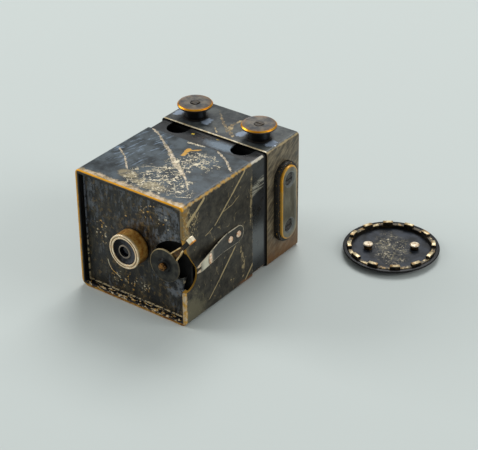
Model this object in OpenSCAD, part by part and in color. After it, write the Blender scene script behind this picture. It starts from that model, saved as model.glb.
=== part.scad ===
// Miniature sheet-metal box camera that takes roll film.
// The origin is at the centre of the underside of the front case, +Y runs from the lens to the
// film back, +X is to the right as seen from the front, and +Z is up.

/* [Body] */
// Width across the case
body_w = 41.3; // [40:0.1:46]
// Height of the case
body_h = 41.2; // [40:0.1:46]
// Length of the front case
case_len = 34; // [32:0.5:40]
// Sheet thickness of the front case
case_wall = 0.6; // [0.4:0.05:0.8]
// Radius of the long outer corners
corner_r = 1.6; // [1.2:0.1:3]

/* [Front face] */
// Width of the rim round the front opening
rim_w = 1.4; // [1:0.1:2]
// Depth from the rim to the front plate
rim_depth = 2.1; // [1.9:0.1:3]
// Thickness of the front plate
plate_t = 0.8; // [0.6:0.1:1.2]
// Thickness of the lens board behind the shutter
board_t = 0.8; // [0.6:0.1:1.2]

/* [Lens] */
// Outer radius of the lens barrel
barrel_r = 5.7; // [5.2:0.1:6.4]
// Wall of the lens barrel
barrel_wall = 1.4; // [1.1:0.05:1.6]
// Length of the barrel in front of the front plate
barrel_len = 5; // [4.5:0.1:7]
// Radius of the lens stop's hole
stop_r = 1.73; // [1:0.05:1.9]
// Length of the rear lens cell
cell_len = 5.2; // [4.5:0.1:7]
// Thickness of each lens on its axis
lens_t = 1.8; // [1.7:0.1:2]

/* [Shutter] */
// Distance from the shutter's pivot to the right side of the case
pivot_inset = 7.75; // [7.5:0.05:8.4]
// Drop of the shutter's pivot below the lens axis
pivot_drop = 1.6; // [1:0.05:3]
// Radius of the shutter's hub disc
hub_r = 5.5; // [4.8:0.05:5.8]
// Angle of the lever above level when it is set
lever_angle = 50; // [42:1:51]
// Swing of the lever from set to released
lever_swing = 80; // [60:1:82]
// Radius from the pivot to the middle of the finger tab
lever_reach = 16.6; // [15.5:0.1:18]
// Width of the finger tab
tab_w = 1.9; // [1.6:0.1:2.4]
// Free space between the lever and the front plate
lever_gap = 0.9; // [0.5:0.1:1.1]
// Thickness of the shutter blade
blade_t = 0.4; // [0.3:0.05:0.6]
// Free space on each side of the shutter blade
blade_gap = 0.35; // [0.3:0.05:0.6]
// Radius of the shutter's spindle
pivot_r = 0.85; // [0.7:0.05:1.1]
// Depth of the notch in the right side that the lever swings in
notch_depth = 6.1; // [5.6:0.1:6.6]

/* [Side spring] */
// Thickness of the leaf spring on the right side
leaf_t = 0.35; // [0.25:0.05:0.5]
// Width of the leaf at its riveted end
leaf_w = 5.8; // [5:0.1:7]
// Height that the leaf's front end stands off the case
leaf_rise = 2.8; // [2.8:0.1:4]
// Distance from the rear end of the case to the leaf's bend line
leaf_bend = 13.5; // [13:0.1:16]
// Length of the riveted foot behind the bend line
foot_len = 8.5; // [8:0.1:10]
// Drop of the leaf's middle line below the lens axis
leaf_drop = 0.5; // [0:0.05:1]
// Radius of the rivet heads
rivet_r = 1.1; // [0.9:0.05:1.4]

/* [Sleeve] */
// Wall of the inner sleeve
sleeve_wall = 0.55; // [0.4:0.05:0.7]
// Length of the sleeve inside the front case
sleeve_root = 6; // [5:0.5:7]
// Length of sleeve that shows between the case and the film back
neck_len = 7.7; // [7:0.1:8.5]
// Length of sleeve inside the film back when it is drawn out
sleeve_lap = 2.5; // [1.5:0.1:3]
// Radius of the two notches in the sleeve that clear the spool bushes
sleeve_notch_r = 3.7; // [3.6:0.1:4.2]

/* [Film back] */
// Length of the film back
back_len = 17.2; // [16.5:0.1:20]
// Sheet thickness of the film back
back_wall = 0.5; // [0.35:0.05:0.55]
// Radius of the film back's long outer corners
back_corner_r = 0.9; // [0.8:0.1:1.6]
// Radius of the round window in the rear wall
window_r = 14.3; // [13.6:0.1:15]
// Thickness of the ring behind the rear wall
ring_t = 0.9; // [0.6:0.1:1]
// Width of the ring behind the rear wall
ring_w = 1.8; // [1:0.1:2]

/* [Film and spools] */
// Side of the square picture window
gate_w = 28.6; // [26:0.1:29]
// Sheet thickness of the spool frame
frame_t = 0.6; // [0.4:0.05:0.8]
// Width of the film
film_h = 30; // [29:0.1:31]
// Thickness of the film
film_t = 0.15; // [0.1:0.05:0.25]
// Distance from the side of the case to each spool's axis
spool_inset = 8.15; // [8:0.05:8.6]
// Distance from the film back's front edge to the spool axes
spool_setback = 6.9; // [6.7:0.1:7.5]
// Radius of the spool flanges
flange_r = 5.5; // [5.3:0.05:5.6]
// Radius of the spool cores
core_r = 2.6; // [2:0.1:3]
// Radius of the film wound on the feed spool
feed_roll_r = 5.2; // [4.6:0.1:5.2]
// Radius of the film wound on the take-up spool
takeup_roll_r = 3.9; // [3.2:0.1:4.8]
// Radius of the spool spindles
spindle_r = 1.2; // [0.9:0.05:1.3]
// Radius of the guide rollers
roller_r = 1; // [0.8:0.05:1.1]

/* [Knobs] */
// Radius of the knob heads
knob_r = 5.7; // [5:0.1:6.5]
// Height of the knob heads above the top of the case
knob_h = 4.8; // [4:0.1:6]
// Thickness of the knob heads
knob_head_t = 1.1; // [0.8:0.1:1.6]
// Radius of the knob stems
stem_r = 3.5; // [3:0.1:4]

/* [Side grips] */
// Width of the raised plate on each grip
grip_w = 8.2; // [7:0.1:9.5]
// Height of the raised plate on each grip
grip_h = 26; // [22:0.1:28]
// Step of the grip's base round the raised plate
grip_step = 1; // [0.6:0.1:1.4]
// Thickness of the grip's base
grip_base_t = 1.75; // [1:0.05:2.2]
// Thickness of the grip's raised plate
grip_plate_t = 0.75; // [0.5:0.05:1]
// Distance between the two screws of a grip
grip_pitch = 16.7; // [15:0.1:18]
// Outer radius of the countersinks in the raised plate
grip_hole_r = 2.5; // [2.1:0.05:2.8]

/* [Cap] */
// Radius of the cap's flange
cap_r = 15.7; // [15.4:0.1:18]
// Thickness of the cap's disc
cap_t = 1.1; // [0.9:0.1:1.4]
// Wall of the cap's collar
collar_wall = 1.3; // [1.1:0.1:1.9]
// Free space between the cap's collar and the round window
cap_clear = 0.1; // [0.05:0.05:0.3]
// Height of the collar between its teeth
collar_h = 1.2; // [1:0.1:1.4]
// Height of the collar's teeth above the collar
tooth_h = 0.9; // [0.5:0.1:1.1]
// Width of a tooth
tooth_w = 3.3; // [2.5:0.1:4]
// Distance from the middle of the cap to each stud
stud_out = 7.45; // [6.5:0.05:9]
// Distance that the cap lies to the right of the case's middle
cap_x = 47.4; // [44:0.1:52]
// Distance that the cap lies behind the case's middle
cap_y = 55.8; // [52:0.1:60]

/* [Hidden] */
$fn = 96;
eps = 0.01;
// How far a cut runs past the face that it opens
over = 1;

// Front-to-back stations
rim_y = -case_len / 2;
plate_y = rim_y + rim_depth;
blade_y = plate_y + plate_t + blade_gap;
board_y = blade_y + blade_t + blade_gap;
case_end = case_len / 2;
back_y = case_end + neck_len;
back_end = back_y + back_len;
spool_y = back_y + spool_setback;

// Lens and shutter
lens_z = body_h / 2;
barrel_bore = barrel_r - barrel_wall;
spigot_r = barrel_r - 0.5;
ring_seat_t = 0.8;
stop_back = 0.3;
stop_t = 0.6;
stop_seat = 0.05;
groove_w = 0.4;
groove_t = 0.2;
lip_w = 0.45;
lip_t = 0.15;
lens_curve_r = 14;
cell_r = 5.2;
cell_bore = 4.4;
lens_shoulder = 0.6;
lens_slack = 0.02;
pivot_x = body_w / 2 - pivot_inset;
pivot_z = lens_z - pivot_drop;
lens_reach = norm([pivot_x, pivot_drop]);
lens_angle = 180 - atan(pivot_drop / pivot_x);
blade_hole_angle = lens_angle + lever_swing / 2;
blade_half_angle = 58;
blade_r = lens_reach + stop_r + 0.4;
lever_t = 0.4;
lever_y = plate_y - lever_gap - lever_t;
lever_step = 0.45;
lever_root_w = 3.4;
lever_neck_w = 1.4;
tab_len = tab_w + 0.2;
tab_t = 1.5;
rail_w = 0.35;
rail_h = 0.5;
hub_t = 0.5;
hub_y = lever_y - hub_t;
boss_r = 2.1;
boss_t = 0.5;
stud_r = 1.3;
stud_h = 1.2;
stud_round = 0.3;
run_fit = 0.05;
nut_r = 1.6;
nut_t = 0.6;
wire_r = 0.2;
spring_turns = 3;
spring_r = nut_r + 0.45;
spring_pitch = 0.55;

// Notch in the right side: an arc below its deepest point, and above it a slope and a steep throat
notch_low_r = 4.4;
notch_z = pivot_z - 2.7;
notch_flat_y = 0.3;
notch_flat_z = 2;
notch_throat_y = 1.5;
notch_throat_z = 9.3;
notch_neck_y = 0.8;
notch_neck_z = 13.5;
notch_rise = 14.5;

// Opening in the front plate behind the lever
opening_r = 11.3;
opening_dx = 4.5;
opening_dz = -2.6;
opening_margin = 2.8;
opening_left = barrel_r + opening_margin - pivot_x;
opening_low = 4.2;
// Corners at the lower right, from the case's side and down from the pivot
opening_steps = [[1.1, 2.6], [2.45, 6.35], [2.85, 7.6], [0, 7.6]];
bridge_w = 1.2;
bridge_angles = [190, 250];

// Leaf spring
leaf_y = case_end - leaf_bend;
leaf_z = lens_z - leaf_drop;
leaf_tip_y = plate_y + 0.1;
leaf_tip_w = 2.8;
leaf_waist_in = 7.2;
leaf_waist_w = 4;
leaf_steps = 14;
leaf_kink = 0.45;
leaf_gap = 0.12;
fork_w = 1;
fork_len = 2.6;
rivet_shank_r = 0.6;
rivet_h = 0.35;
rivet_front = 1.7;
rivet_rear = 2.7;
rivet_y = [leaf_y + rivet_front, leaf_y + foot_len - rivet_rear];
button_w = 1.9;
button_h = 3.6;
button_t = 0.35;
button_in = 7.9;
button_y = leaf_tip_y + button_in;

// Sleeve and film back
sleeve_front = case_end - sleeve_root;
sleeve_end = back_y + sleeve_lap;
sleeve_notch_y = spool_y - neck_len - 1.1;
frame_clear = 0.45;
frame_in = case_wall + sleeve_wall + frame_clear;
frame_w = body_w - 2 * frame_in;
frame_h = body_h - 2 * frame_in;
gate_y = back_y + 0.3;
film_y = gate_y + frame_t + 0.3;
spool_x = body_w / 2 - spool_inset;
bush_r = 3.2;
bush_neck_r = 2.6;
end_play = 0.35;
ring_relief = 0.3;
flange_t = 0.5;
film_play = 0.4;
roller_out = 4.7;
roller_x = spool_x + roller_out;
film_gap = 0.12;
roller_y = film_y + film_t + film_gap + roller_r;
roller_pin_r = 0.3;
roller_end_r = 0.6;
washer_r = 4;
washer_t = 0.2;
knob_play = 0.05;
bevel = 0.35;
screw_slot = 0.5;
spindle_square = 2.2;
spindle_head_r = 1.5;

// Grips
grip_y = back_y + back_len / 2;
grip_screw_r = 1.15;
grip_head_t = 0.35;
grip_sink_w = 0.6;
grip_head_r = grip_hole_r - grip_sink_w;

// Cap
teeth = 12;
tooth_phase = -53.3;
stud_axis = 34;
cap_stud_r = 1.6;
cap_post_r = 1.35;
cap_head_t = 0.7;
cap_foot = 3.2;
cap_edge = 1.85;
cap_round = 0.4;
cap_lip = 1.05;
stud_drop = 0.2;
collar_r = window_r - cap_clear;

brass = "#b08d4a";
dark_steel = "#3b4047";
black = "#1d1d1f";
bronze = "#5b5348";

// A rectangle with round corners, centred on the origin
module round_rect(w, h, r) {
  square([w - 2 * r, h], center = true);
  square([w, h - 2 * r], center = true);
  for (sx = [-1, 1], sy = [-1, 1])
    translate([sx * (w / 2 - r), sy * (h / 2 - r)]) circle(r);
}

// A strip with round ends, centred on the origin and long upwards
module obround(w, h) {
  square([w, h - w], center = true);
  for (sy = [-1, 1]) translate([0, sy * (h - w) / 2]) circle(w / 2);
}

// Extrudes an outline drawn in X and Z from y0 to y1
module along_y(y0, y1) {
  translate([0, y1, 0]) rotate([90, 0, 0]) linear_extrude(y1 - y0) children();
}

// Extrudes an outline drawn in Y and Z from x0 to x1
module along_x(x0, x1) {
  translate([x0, 0, 0]) rotate([90, 0, 90]) linear_extrude(x1 - x0) children();
}

// The body's outline in X and Z, drawn in by a wall, with outer corners of radius r
module body_outline(inset, r = corner_r) {
  translate([0, body_h / 2])
    round_rect(body_w - 2 * inset, body_h - 2 * inset, max(r - inset, 0.3));
}

// A round bar or hole along Y
module y_bar(x, z, y0, y1, r) {
  translate([x, y0, z]) rotate([-90, 0, 0]) cylinder(h = y1 - y0, r = r);
}

// A round bar or hole along X
module x_bar(y, z, x0, x1, r) {
  translate([x0, y, z]) rotate([0, 90, 0]) cylinder(h = x1 - x0, r = r);
}

// A turned shape about a line along Y: the outline is radius against y
module turned_y(x, z) {
  translate([x, 0, z]) rotate([-90, 0, 0]) rotate_extrude() children();
}

// A pie slice between two angles that reaches past radius r
function wedge(a0, a1, r) =
  concat([[0, 0]], [for (i = [0:5]) 1.2 * r * [cos(a0 + (a1 - a0) * i / 5), sin(a0 + (a1 - a0) * i / 5)]]);

// The side notch, drawn in Y and Z
module notch_outline() {
  slope = (notch_rise - notch_neck_z) / notch_neck_y;
  translate([rim_y, notch_z]) polygon([[-over, 0], [notch_depth, 0],
    [notch_depth - notch_flat_y, notch_flat_z], [notch_throat_y, notch_throat_z],
    [notch_neck_y, notch_neck_z], [-over, notch_rise + over * slope]]);
  intersection() {
    translate([rim_y + notch_depth - notch_low_r, notch_z]) circle(notch_low_r);
    translate([rim_y - over, notch_z - notch_low_r - over])
      square([notch_depth + 2 * over, notch_low_r + over + eps]);
  }
}

module front_case() {
  color(dark_steel) difference() {
    along_y(rim_y, case_end) body_outline(0);
    along_y(rim_y - over, plate_y + eps) body_outline(rim_w);
    along_y(plate_y, case_end + over) body_outline(case_wall);
    along_x(body_w / 2 - rim_w - over, body_w / 2 + over) notch_outline();
    for (y = rivet_y) x_bar(y, leaf_z, body_w / 2 - case_wall - over, body_w / 2 + over, rivet_shank_r);
  }
}

// The opening behind the lever, drawn from the pivot
module lever_opening() {
  intersection() {
    translate([opening_dx, opening_dz]) circle(opening_r);
    polygon(concat([[opening_left, bridge_w], [0, -bridge_w], [pivot_inset / 2, -opening_low]],
      [for (p = opening_steps) [pivot_inset - p[0], -p[1]]],
      [[pivot_inset, opening_r], [opening_left, opening_r]]));
  }
}

module front_plate() {
  color(black) difference() {
    along_y(plate_y, plate_y + plate_t) body_outline(case_wall);
    y_bar(0, lens_z, plate_y - over, plate_y + plate_t + over, spigot_r);
    along_y(plate_y - over, plate_y + plate_t + over) difference() {
      translate([pivot_x, pivot_z]) lever_opening();
      translate([pivot_x, pivot_z]) circle(pivot_r + bridge_w);
      translate([pivot_x, pivot_z])
        polygon(wedge(bridge_angles[0], bridge_angles[1], pivot_r + 2 * bridge_w));
    }
    y_bar(pivot_x, pivot_z, plate_y - over, plate_y + plate_t + over, pivot_r + run_fit);
  }
}

barrel_front = plate_y - barrel_len;
module lens_barrel() {
  groove_r = barrel_r - barrel_wall / 2;
  color(brass) turned_y(0, lens_z) difference() {
    union() {
      translate([barrel_bore, barrel_front]) square([barrel_wall, barrel_len]);
      translate([barrel_bore, plate_y - eps]) square([spigot_r - barrel_bore, plate_t + eps]);
    }
    translate([groove_r - groove_w / 2, barrel_front - over]) square([groove_w, over + groove_t]);
  }
}

module lens_stop() {
  y0 = barrel_front + stop_back;
  color("#4b4f57") turned_y(0, lens_z)
    polygon([[stop_r, y0 - lip_t], [stop_r + lip_w, y0 - lip_t], [stop_r + lip_w, y0 + lip_t],
      [barrel_bore, y0 + lip_t], [barrel_bore, y0 + stop_t], [stop_r, y0 + stop_t]]);
}

// How far a lens face falls back at radius x from its pole
function lens_sag(x) = lens_curve_r - sqrt(lens_curve_r * lens_curve_r - x * x);

// A lens with two bulging faces, its front pole at y
module round_lens(y, r) {
  steps = 10;
  color("#9fc4d8", 0.5) turned_y(0, lens_z) polygon(concat(
    [for (i = [0:steps]) [r * i / steps, y + lens_sag(r * i / steps)]],
    [for (i = [steps:-1:0]) [r * i / steps, y + lens_t - lens_sag(r * i / steps)]]));
}

front_lens_y = barrel_front + stop_back + stop_t + stop_seat;
module front_lens() {
  round_lens(front_lens_y, barrel_bore);
}

// A ring in a bore of radius r that holds a lens from behind, where the lens has its front pole at y
module lens_ring(y, r) {
  seat = y + lens_t - lens_sag(r - lens_shoulder) + lens_slack;
  color(brass) turned_y(0, lens_z)
    translate([r - lens_shoulder, seat]) square([lens_shoulder, ring_seat_t]);
}

module front_lens_ring() {
  lens_ring(front_lens_y, barrel_bore);
}

module lens_board() {
  color(black) difference() {
    along_y(board_y, board_y + board_t) body_outline(case_wall);
    y_bar(0, lens_z, board_y - over, board_y + board_t + over, cell_r);
    y_bar(pivot_x, pivot_z, board_y - over, board_y + board_t + over, pivot_r + run_fit);
  }
}

rear_lens_y = board_y + lens_shoulder + stop_seat;
module rear_lens_cell() {
  color(brass) turned_y(0, lens_z) difference() {
    translate([cell_bore - lens_shoulder, board_y]) square([cell_r - cell_bore + lens_shoulder, cell_len]);
    translate([0, board_y + lens_shoulder]) square([cell_bore, cell_len]);
  }
}

module rear_lens() {
  round_lens(rear_lens_y, cell_bore);
}

module rear_lens_ring() {
  lens_ring(rear_lens_y, cell_bore);
}

// Places a shape that is drawn from the shutter's pivot
module at_pivot() {
  translate([pivot_x, 0, pivot_z]) children();
}

module shutter_hub() {
  color(black) at_pivot() difference() {
    union() {
      y_bar(0, 0, hub_y, lever_y, hub_r);
      y_bar(0, 0, hub_y - boss_t, hub_y + eps, boss_r);
    }
    y_bar(0, 0, hub_y - boss_t - over, lever_y + over, pivot_r);
  }
}

lever_in = hub_r - 1.3;
lever_mid = 11.2;
lever_out = lever_reach - tab_w / 2;
step_at = 9.2;

// The lever's tapered outline from radius r0 to r1, drawn along X from the pivot
module lever_outline(r0, r1) {
  half_root = lever_root_w / 2;
  half_neck = lever_neck_w / 2;
  intersection() {
    polygon([[0, -half_root], [lever_in, -half_root], [lever_mid, -half_neck], [lever_out, -half_neck],
      [lever_out, half_neck], [lever_mid, half_neck], [lever_in, half_root], [0, half_root]]);
    translate([r0, -lever_root_w]) square([r1 - r0, 2 * lever_root_w]);
  }
}

// The two raised edges of the lever from radius r0 to r1
module lever_rails(r0, r1) {
  taper = (lever_root_w - lever_neck_w) / 2 / (lever_mid - lever_in);
  difference() {
    lever_outline(r0, r1);
    polygon([for (p = [[r0 - over, 1], [r1 + over, 1], [r1 + over, -1], [r0 - over, -1]])
      [p[0], p[1] * (lever_root_w / 2 - taper * (p[0] - lever_in) - rail_w)]]);
  }
}

module shutter_lever() {
  front_y = lever_y - lever_step;
  color("#8a6d3a") at_pivot() {
    along_y(lever_y, lever_y + lever_t) difference() {
      union() {
        circle(lever_in);
        rotate(lever_angle) lever_outline(0, step_at + lever_t);
      }
      circle(pivot_r);
    }
    along_y(front_y, lever_y + lever_t) rotate(lever_angle) lever_outline(step_at, step_at + lever_t);
    along_y(front_y, front_y + lever_t) rotate(lever_angle) lever_outline(step_at, lever_out);
    along_y(lever_y - rail_h, lever_y + eps) rotate(lever_angle) lever_rails(hub_r + 0.05, step_at + eps);
    along_y(front_y - rail_h, front_y + eps) rotate(lever_angle) lever_rails(step_at, lever_mid);
  }
}

module lever_tab() {
  tab_y = lever_y - lever_step + lever_t;
  color(brass) at_pivot() along_y(tab_y - tab_t, tab_y)
    rotate(lever_angle) translate([lever_out, -tab_w / 2]) square([tab_len, tab_w]);
}

module shutter_spindle() {
  seat = hub_y - boss_t;
  color(brass) at_pivot() turned_y(0, 0)
    polygon([[0, seat - stud_h], [stud_r - stud_round, seat - stud_h], [stud_r, seat - stud_h + stud_round],
      [stud_r, seat], [pivot_r, seat], [pivot_r, board_y + board_t + nut_t + 0.3],
      [0, board_y + board_t + nut_t + 0.3]]);
}

module shutter_blade() {
  color("#2a2c30") at_pivot() along_y(blade_y, blade_y + blade_t) difference() {
    union() {
      intersection() {
        circle(blade_r);
        polygon(wedge(blade_hole_angle - blade_half_angle, blade_hole_angle + blade_half_angle, blade_r));
      }
      circle(pivot_r + 2);
    }
    circle(pivot_r);
    rotate(blade_hole_angle) translate([lens_reach, 0]) circle(stop_r + 0.1);
  }
}

nut_y = board_y + board_t + 0.1;
module spindle_nut() {
  color(brass) at_pivot() difference() {
    y_bar(0, 0, nut_y, nut_y + nut_t, nut_r);
    y_bar(0, 0, nut_y - over, nut_y + nut_t + over, pivot_r);
  }
}

// Points along the shutter spring: a straight leg, the turns and another straight leg
spring_y = board_y + board_t + wire_r + 0.02;
spring_step = 15;
leg = 3;
spring_path = concat(
  [[spring_r, spring_y, -leg]],
  [for (a = [0:spring_step:spring_turns * 360])
    [spring_r * cos(a), spring_y + spring_pitch * a / 360, spring_r * sin(a)]],
  [[spring_r, spring_y + spring_turns * spring_pitch, leg]]);
// Angle of each point round the coil, for the direction that its ring of the tube faces
spring_dir = concat([0], [for (a = [0:spring_step:spring_turns * 360]) a], [0]);
module shutter_spring() {
  sides = 8;
  n = len(spring_path);
  points = [for (i = [0:n - 1]) for (k = [0:sides - 1])
    spring_path[i] + wire_r * (cos(360 * k / sides) * [cos(spring_dir[i]), 0, sin(spring_dir[i])]
      + sin(360 * k / sides) * [0, 1, 0])];
  faces = concat([[for (k = [0:sides - 1]) k]],
    [for (i = [0:n - 2]) for (k = [0:sides - 1])
      [i * sides + k, (i + 1) * sides + k, (i + 1) * sides + (k + 1) % sides, i * sides + (k + 1) % sides]],
    [[for (k = [0:sides - 1]) n * sides - 1 - k]]);
  color("silver") at_pivot() polyhedron(points, faces);
}

// Height of the leaf's inner face over the case at station t, from 0 at the bend to 1 at the tip
function leaf_off(t) = leaf_rise * (leaf_kink * t + (1 - leaf_kink) * (1 - cos(180 * t)) / 2);
leaf_span = leaf_y - leaf_tip_y;
function leaf_point(d, t) = [body_w / 2 + d + leaf_off(t), leaf_y - leaf_span * t];

// The leaf's side view from offset d0 to d1 over its inner face, extruded upwards
module leaf_profile(d0, d1) {
  linear_extrude(body_h) polygon(concat(
    [for (i = [0:leaf_steps]) leaf_point(d0, i / leaf_steps)],
    [for (i = [leaf_steps:-1:0]) leaf_point(d1, i / leaf_steps)]));
}

module leaf_foot() {
  color(black) difference() {
    along_x(body_w / 2, body_w / 2 + leaf_t) translate([0, leaf_z]) {
      translate([leaf_y, -leaf_w / 2]) square([foot_len - leaf_w / 2, leaf_w]);
      translate([leaf_y + foot_len - leaf_w / 2, 0]) circle(leaf_w / 2);
    }
    for (y = rivet_y) x_bar(y, leaf_z, body_w / 2 - over, body_w / 2 + leaf_t + over, rivet_shank_r);
  }
}

module leaf_blade() {
  waist_y = leaf_tip_y + leaf_waist_in;
  shoulder_w = leaf_waist_w - 0.4;
  color(black) intersection() {
    leaf_profile(0, leaf_t);
    along_x(body_w / 2 - over, body_w / 2 + leaf_rise + 2 * over) translate([0, leaf_z]) difference() {
      polygon([[leaf_y - leaf_gap, -leaf_w / 2], [waist_y, -leaf_waist_w / 2],
        [leaf_tip_y + fork_len, -shoulder_w / 2], [leaf_tip_y - over, -leaf_tip_w / 2],
        [leaf_tip_y - over, leaf_tip_w / 2], [leaf_tip_y + fork_len, shoulder_w / 2],
        [waist_y, leaf_waist_w / 2], [leaf_y - leaf_gap, leaf_w / 2]]);
      translate([leaf_tip_y - over, -fork_w / 2]) square([fork_len + over, fork_w]);
    }
  }
}

module leaf_button() {
  color("#c9b79a") intersection() {
    leaf_profile(leaf_t, leaf_t + button_t);
    along_x(body_w / 2 - over, body_w / 2 + leaf_rise + 2 * over) translate([button_y, leaf_z])
      obround(button_w, button_h);
  }
}

module leaf_rivets() {
  inner = body_w / 2 - case_wall;
  outer = body_w / 2 + leaf_t;
  color("#c58a5a") for (y = rivet_y) translate([0, y, leaf_z]) rotate([0, 90, 0]) rotate_extrude()
    polygon([[0, inner - rivet_h], [rivet_r - 0.15, inner - rivet_h], [rivet_r - 0.15, inner],
      [rivet_shank_r, inner], [rivet_shank_r, outer], [rivet_r, outer],
      [rivet_r - 0.35, outer + rivet_h], [0, outer + rivet_h]]);
}

module inner_sleeve() {
  color("#4a5058") difference() {
    along_y(sleeve_front, sleeve_end) body_outline(case_wall);
    along_y(sleeve_front - over, sleeve_end + over) body_outline(case_wall + sleeve_wall);
    for (s = [-1, 1]) translate([s * spool_x, sleeve_notch_y, body_h - frame_in]) {
      cylinder(h = frame_in + over, r = sleeve_notch_r);
      translate([-sleeve_notch_r, 0, 0])
        cube([2 * sleeve_notch_r, sleeve_end - sleeve_notch_y + over, frame_in + over]);
    }
  }
}

module film_back_shell() {
  side = body_w / 2;
  color(bronze) difference() {
    along_y(back_y, back_end) body_outline(0, back_corner_r);
    along_y(back_y - over, back_end + over) body_outline(back_wall, back_corner_r);
    for (s = [-1, 1]) {
      translate([s * spool_x, spool_y, body_h - back_wall - over])
        cylinder(h = back_wall + 2 * over, r = bush_neck_r);
      for (sz = [-1, 1]) mirror([s > 0 ? 0 : 1, 0, 0])
        x_bar(grip_y, lens_z + sz * grip_pitch / 2, side - back_wall - over, side + over, grip_screw_r);
    }
  }
}

// The rear wall, let into the end of the shell, with the round window
module film_back_rear() {
  color(bronze) difference() {
    along_y(back_end - back_wall, back_end) body_outline(back_wall, back_corner_r);
    y_bar(0, lens_z, back_end - back_wall - over, back_end + over, window_r);
  }
}

module window_ring() {
  color(brass) turned_y(0, lens_z)
    translate([window_r, back_end - back_wall - ring_t]) square([ring_w, ring_t]);
}

// The folded sheet that carries the spools: a gate plate with a top and a bottom flange
module spool_frame() {
  bottom = frame_in;
  top = body_h - frame_in;
  rear = back_end - back_wall;
  color(black) difference() {
    translate([-frame_w / 2, gate_y, bottom]) cube([frame_w, rear - gate_y, frame_h]);
    translate([-frame_w / 2 - over, gate_y + frame_t, bottom + frame_t])
      cube([frame_w + 2 * over, rear - gate_y, frame_h - 2 * frame_t]);
    translate([-gate_w / 2, gate_y - over, lens_z - gate_w / 2]) cube([gate_w, frame_t + 2 * over, gate_w]);
    y_bar(0, lens_z, rear - ring_t - ring_relief, rear + over, window_r + ring_w + ring_relief);
    for (s = [-1, 1]) {
      translate([s * spool_x, spool_y, bottom - over])
        cylinder(h = frame_h + 2 * over, r = spindle_r + run_fit);
      translate([s * roller_x, roller_y, bottom - over])
        cylinder(h = frame_h + 2 * over, r = roller_pin_r);
    }
  }
}

module spindle_bushes() {
  low = body_h - frame_in;
  shoulder = body_h - back_wall;
  color(brass) for (s = [-1, 1]) translate([s * spool_x, spool_y, 0]) difference() {
    union() {
      translate([0, 0, low]) cylinder(h = shoulder - low, r = bush_r);
      translate([0, 0, shoulder - eps]) cylinder(h = back_wall + eps, r = bush_neck_r);
    }
    translate([0, 0, low - over]) cylinder(h = frame_in + 2 * over, r = spindle_r + run_fit);
  }
}

knob_top = body_h + knob_h;
spindle_low = frame_in;

module feed_spindle() {
  color(brass) translate([-spool_x, spool_y, 0]) {
    translate([0, 0, spindle_low]) cylinder(h = knob_top - bevel - spindle_low, r = spindle_r);
    translate([-spindle_square / 2, -spindle_square / 2, knob_top - bevel])
      cube([spindle_square, spindle_square, bevel]);
  }
}

module takeup_spindle() {
  color(brass) translate([spool_x, spool_y, 0]) {
    translate([0, 0, spindle_low]) cylinder(h = knob_top - bevel - spindle_low, r = spindle_r);
    difference() {
      translate([0, 0, knob_top - bevel]) cylinder(h = bevel, r = spindle_head_r);
      translate([-spindle_head_r, -screw_slot / 2, knob_top - bevel / 2])
        cube([2 * spindle_head_r, screw_slot, bevel]);
    }
  }
}

// A spool core with two flanges, on the spindle at side s
module spool(s) {
  core_low = frame_in + frame_t + end_play;
  core_h = frame_h - 2 * frame_t - 2 * end_play;
  color("#6b5637") translate([s * spool_x, spool_y, 0]) difference() {
    union() {
      translate([0, 0, core_low]) cylinder(h = core_h, r = core_r);
      for (sz = [-1, 1]) translate([0, 0, lens_z + sz * (film_h / 2 + film_play + flange_t / 2)])
        cylinder(h = flange_t, r = flange_r, center = true);
    }
    translate([0, 0, core_low - over]) cylinder(h = core_h + 2 * over, r = spindle_r);
  }
}

module feed_spool() {
  spool(-1);
}

module takeup_spool() {
  spool(1);
}

// Film wound on the core at side s
module film_roll(s, r) {
  color("#5a4630") translate([s * spool_x, spool_y, lens_z - film_h / 2]) difference() {
    cylinder(h = film_h, r = r);
    translate([0, 0, -over]) cylinder(h = film_h + 2 * over, r = core_r);
  }
}

module feed_film_roll() {
  film_roll(-1, feed_roll_r);
}

module takeup_film_roll() {
  film_roll(1, takeup_roll_r);
}

// Where the film leaves the guide roller for a roll of radius r, as an angle round both from +X
bend_r = roller_r + film_gap;
to_roll = [spool_x - roller_x, spool_y - roller_y];
function leave_angle(r) = atan2(to_roll[1], to_roll[0]) - acos((bend_r - r - film_gap) / norm(to_roll));

// The right half of the film's path from the middle of the window to a roll of radius r
module film_half(r) {
  a = leave_angle(r);
  out = [cos(a), sin(a)];
  on_roller = [roller_x, roller_y] + bend_r * out;
  on_roll = [spool_x, spool_y] + (r + film_gap) * out;
  translate([0, film_y]) square([roller_x, film_t]);
  translate([roller_x, roller_y]) intersection() {
    difference() {
      circle(bend_r + film_t);
      circle(bend_r);
    }
    polygon(wedge(-90, a, bend_r + film_t));
  }
  polygon([on_roller, on_roll, on_roll + film_t * out, on_roller + film_t * out]);
}

// The stretch of film from one roll to the other, round both guide rollers
module film_strip() {
  color("#6b5a3c") translate([0, 0, lens_z - film_h / 2]) linear_extrude(film_h) {
    film_half(takeup_roll_r);
    mirror([1, 0]) film_half(feed_roll_r);
  }
}

// A free roller beside the picture window at side s
module guide_roller(s) {
  end_h = frame_h - 2 * frame_t - 2 * end_play;
  color("silver") translate([s * roller_x, roller_y, lens_z]) difference() {
    union() {
      cylinder(h = film_h + film_play, r = roller_r, center = true);
      cylinder(h = end_h, r = roller_end_r, center = true);
    }
    cylinder(h = end_h + 2 * over, r = roller_pin_r + run_fit, center = true);
  }
}

module left_guide_roller() {
  guide_roller(-1);
}

module right_guide_roller() {
  guide_roller(1);
}

module roller_pins() {
  color("silver") for (s = [-1, 1]) translate([s * roller_x, roller_y, frame_in])
    cylinder(h = frame_h, r = roller_pin_r);
}

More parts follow.
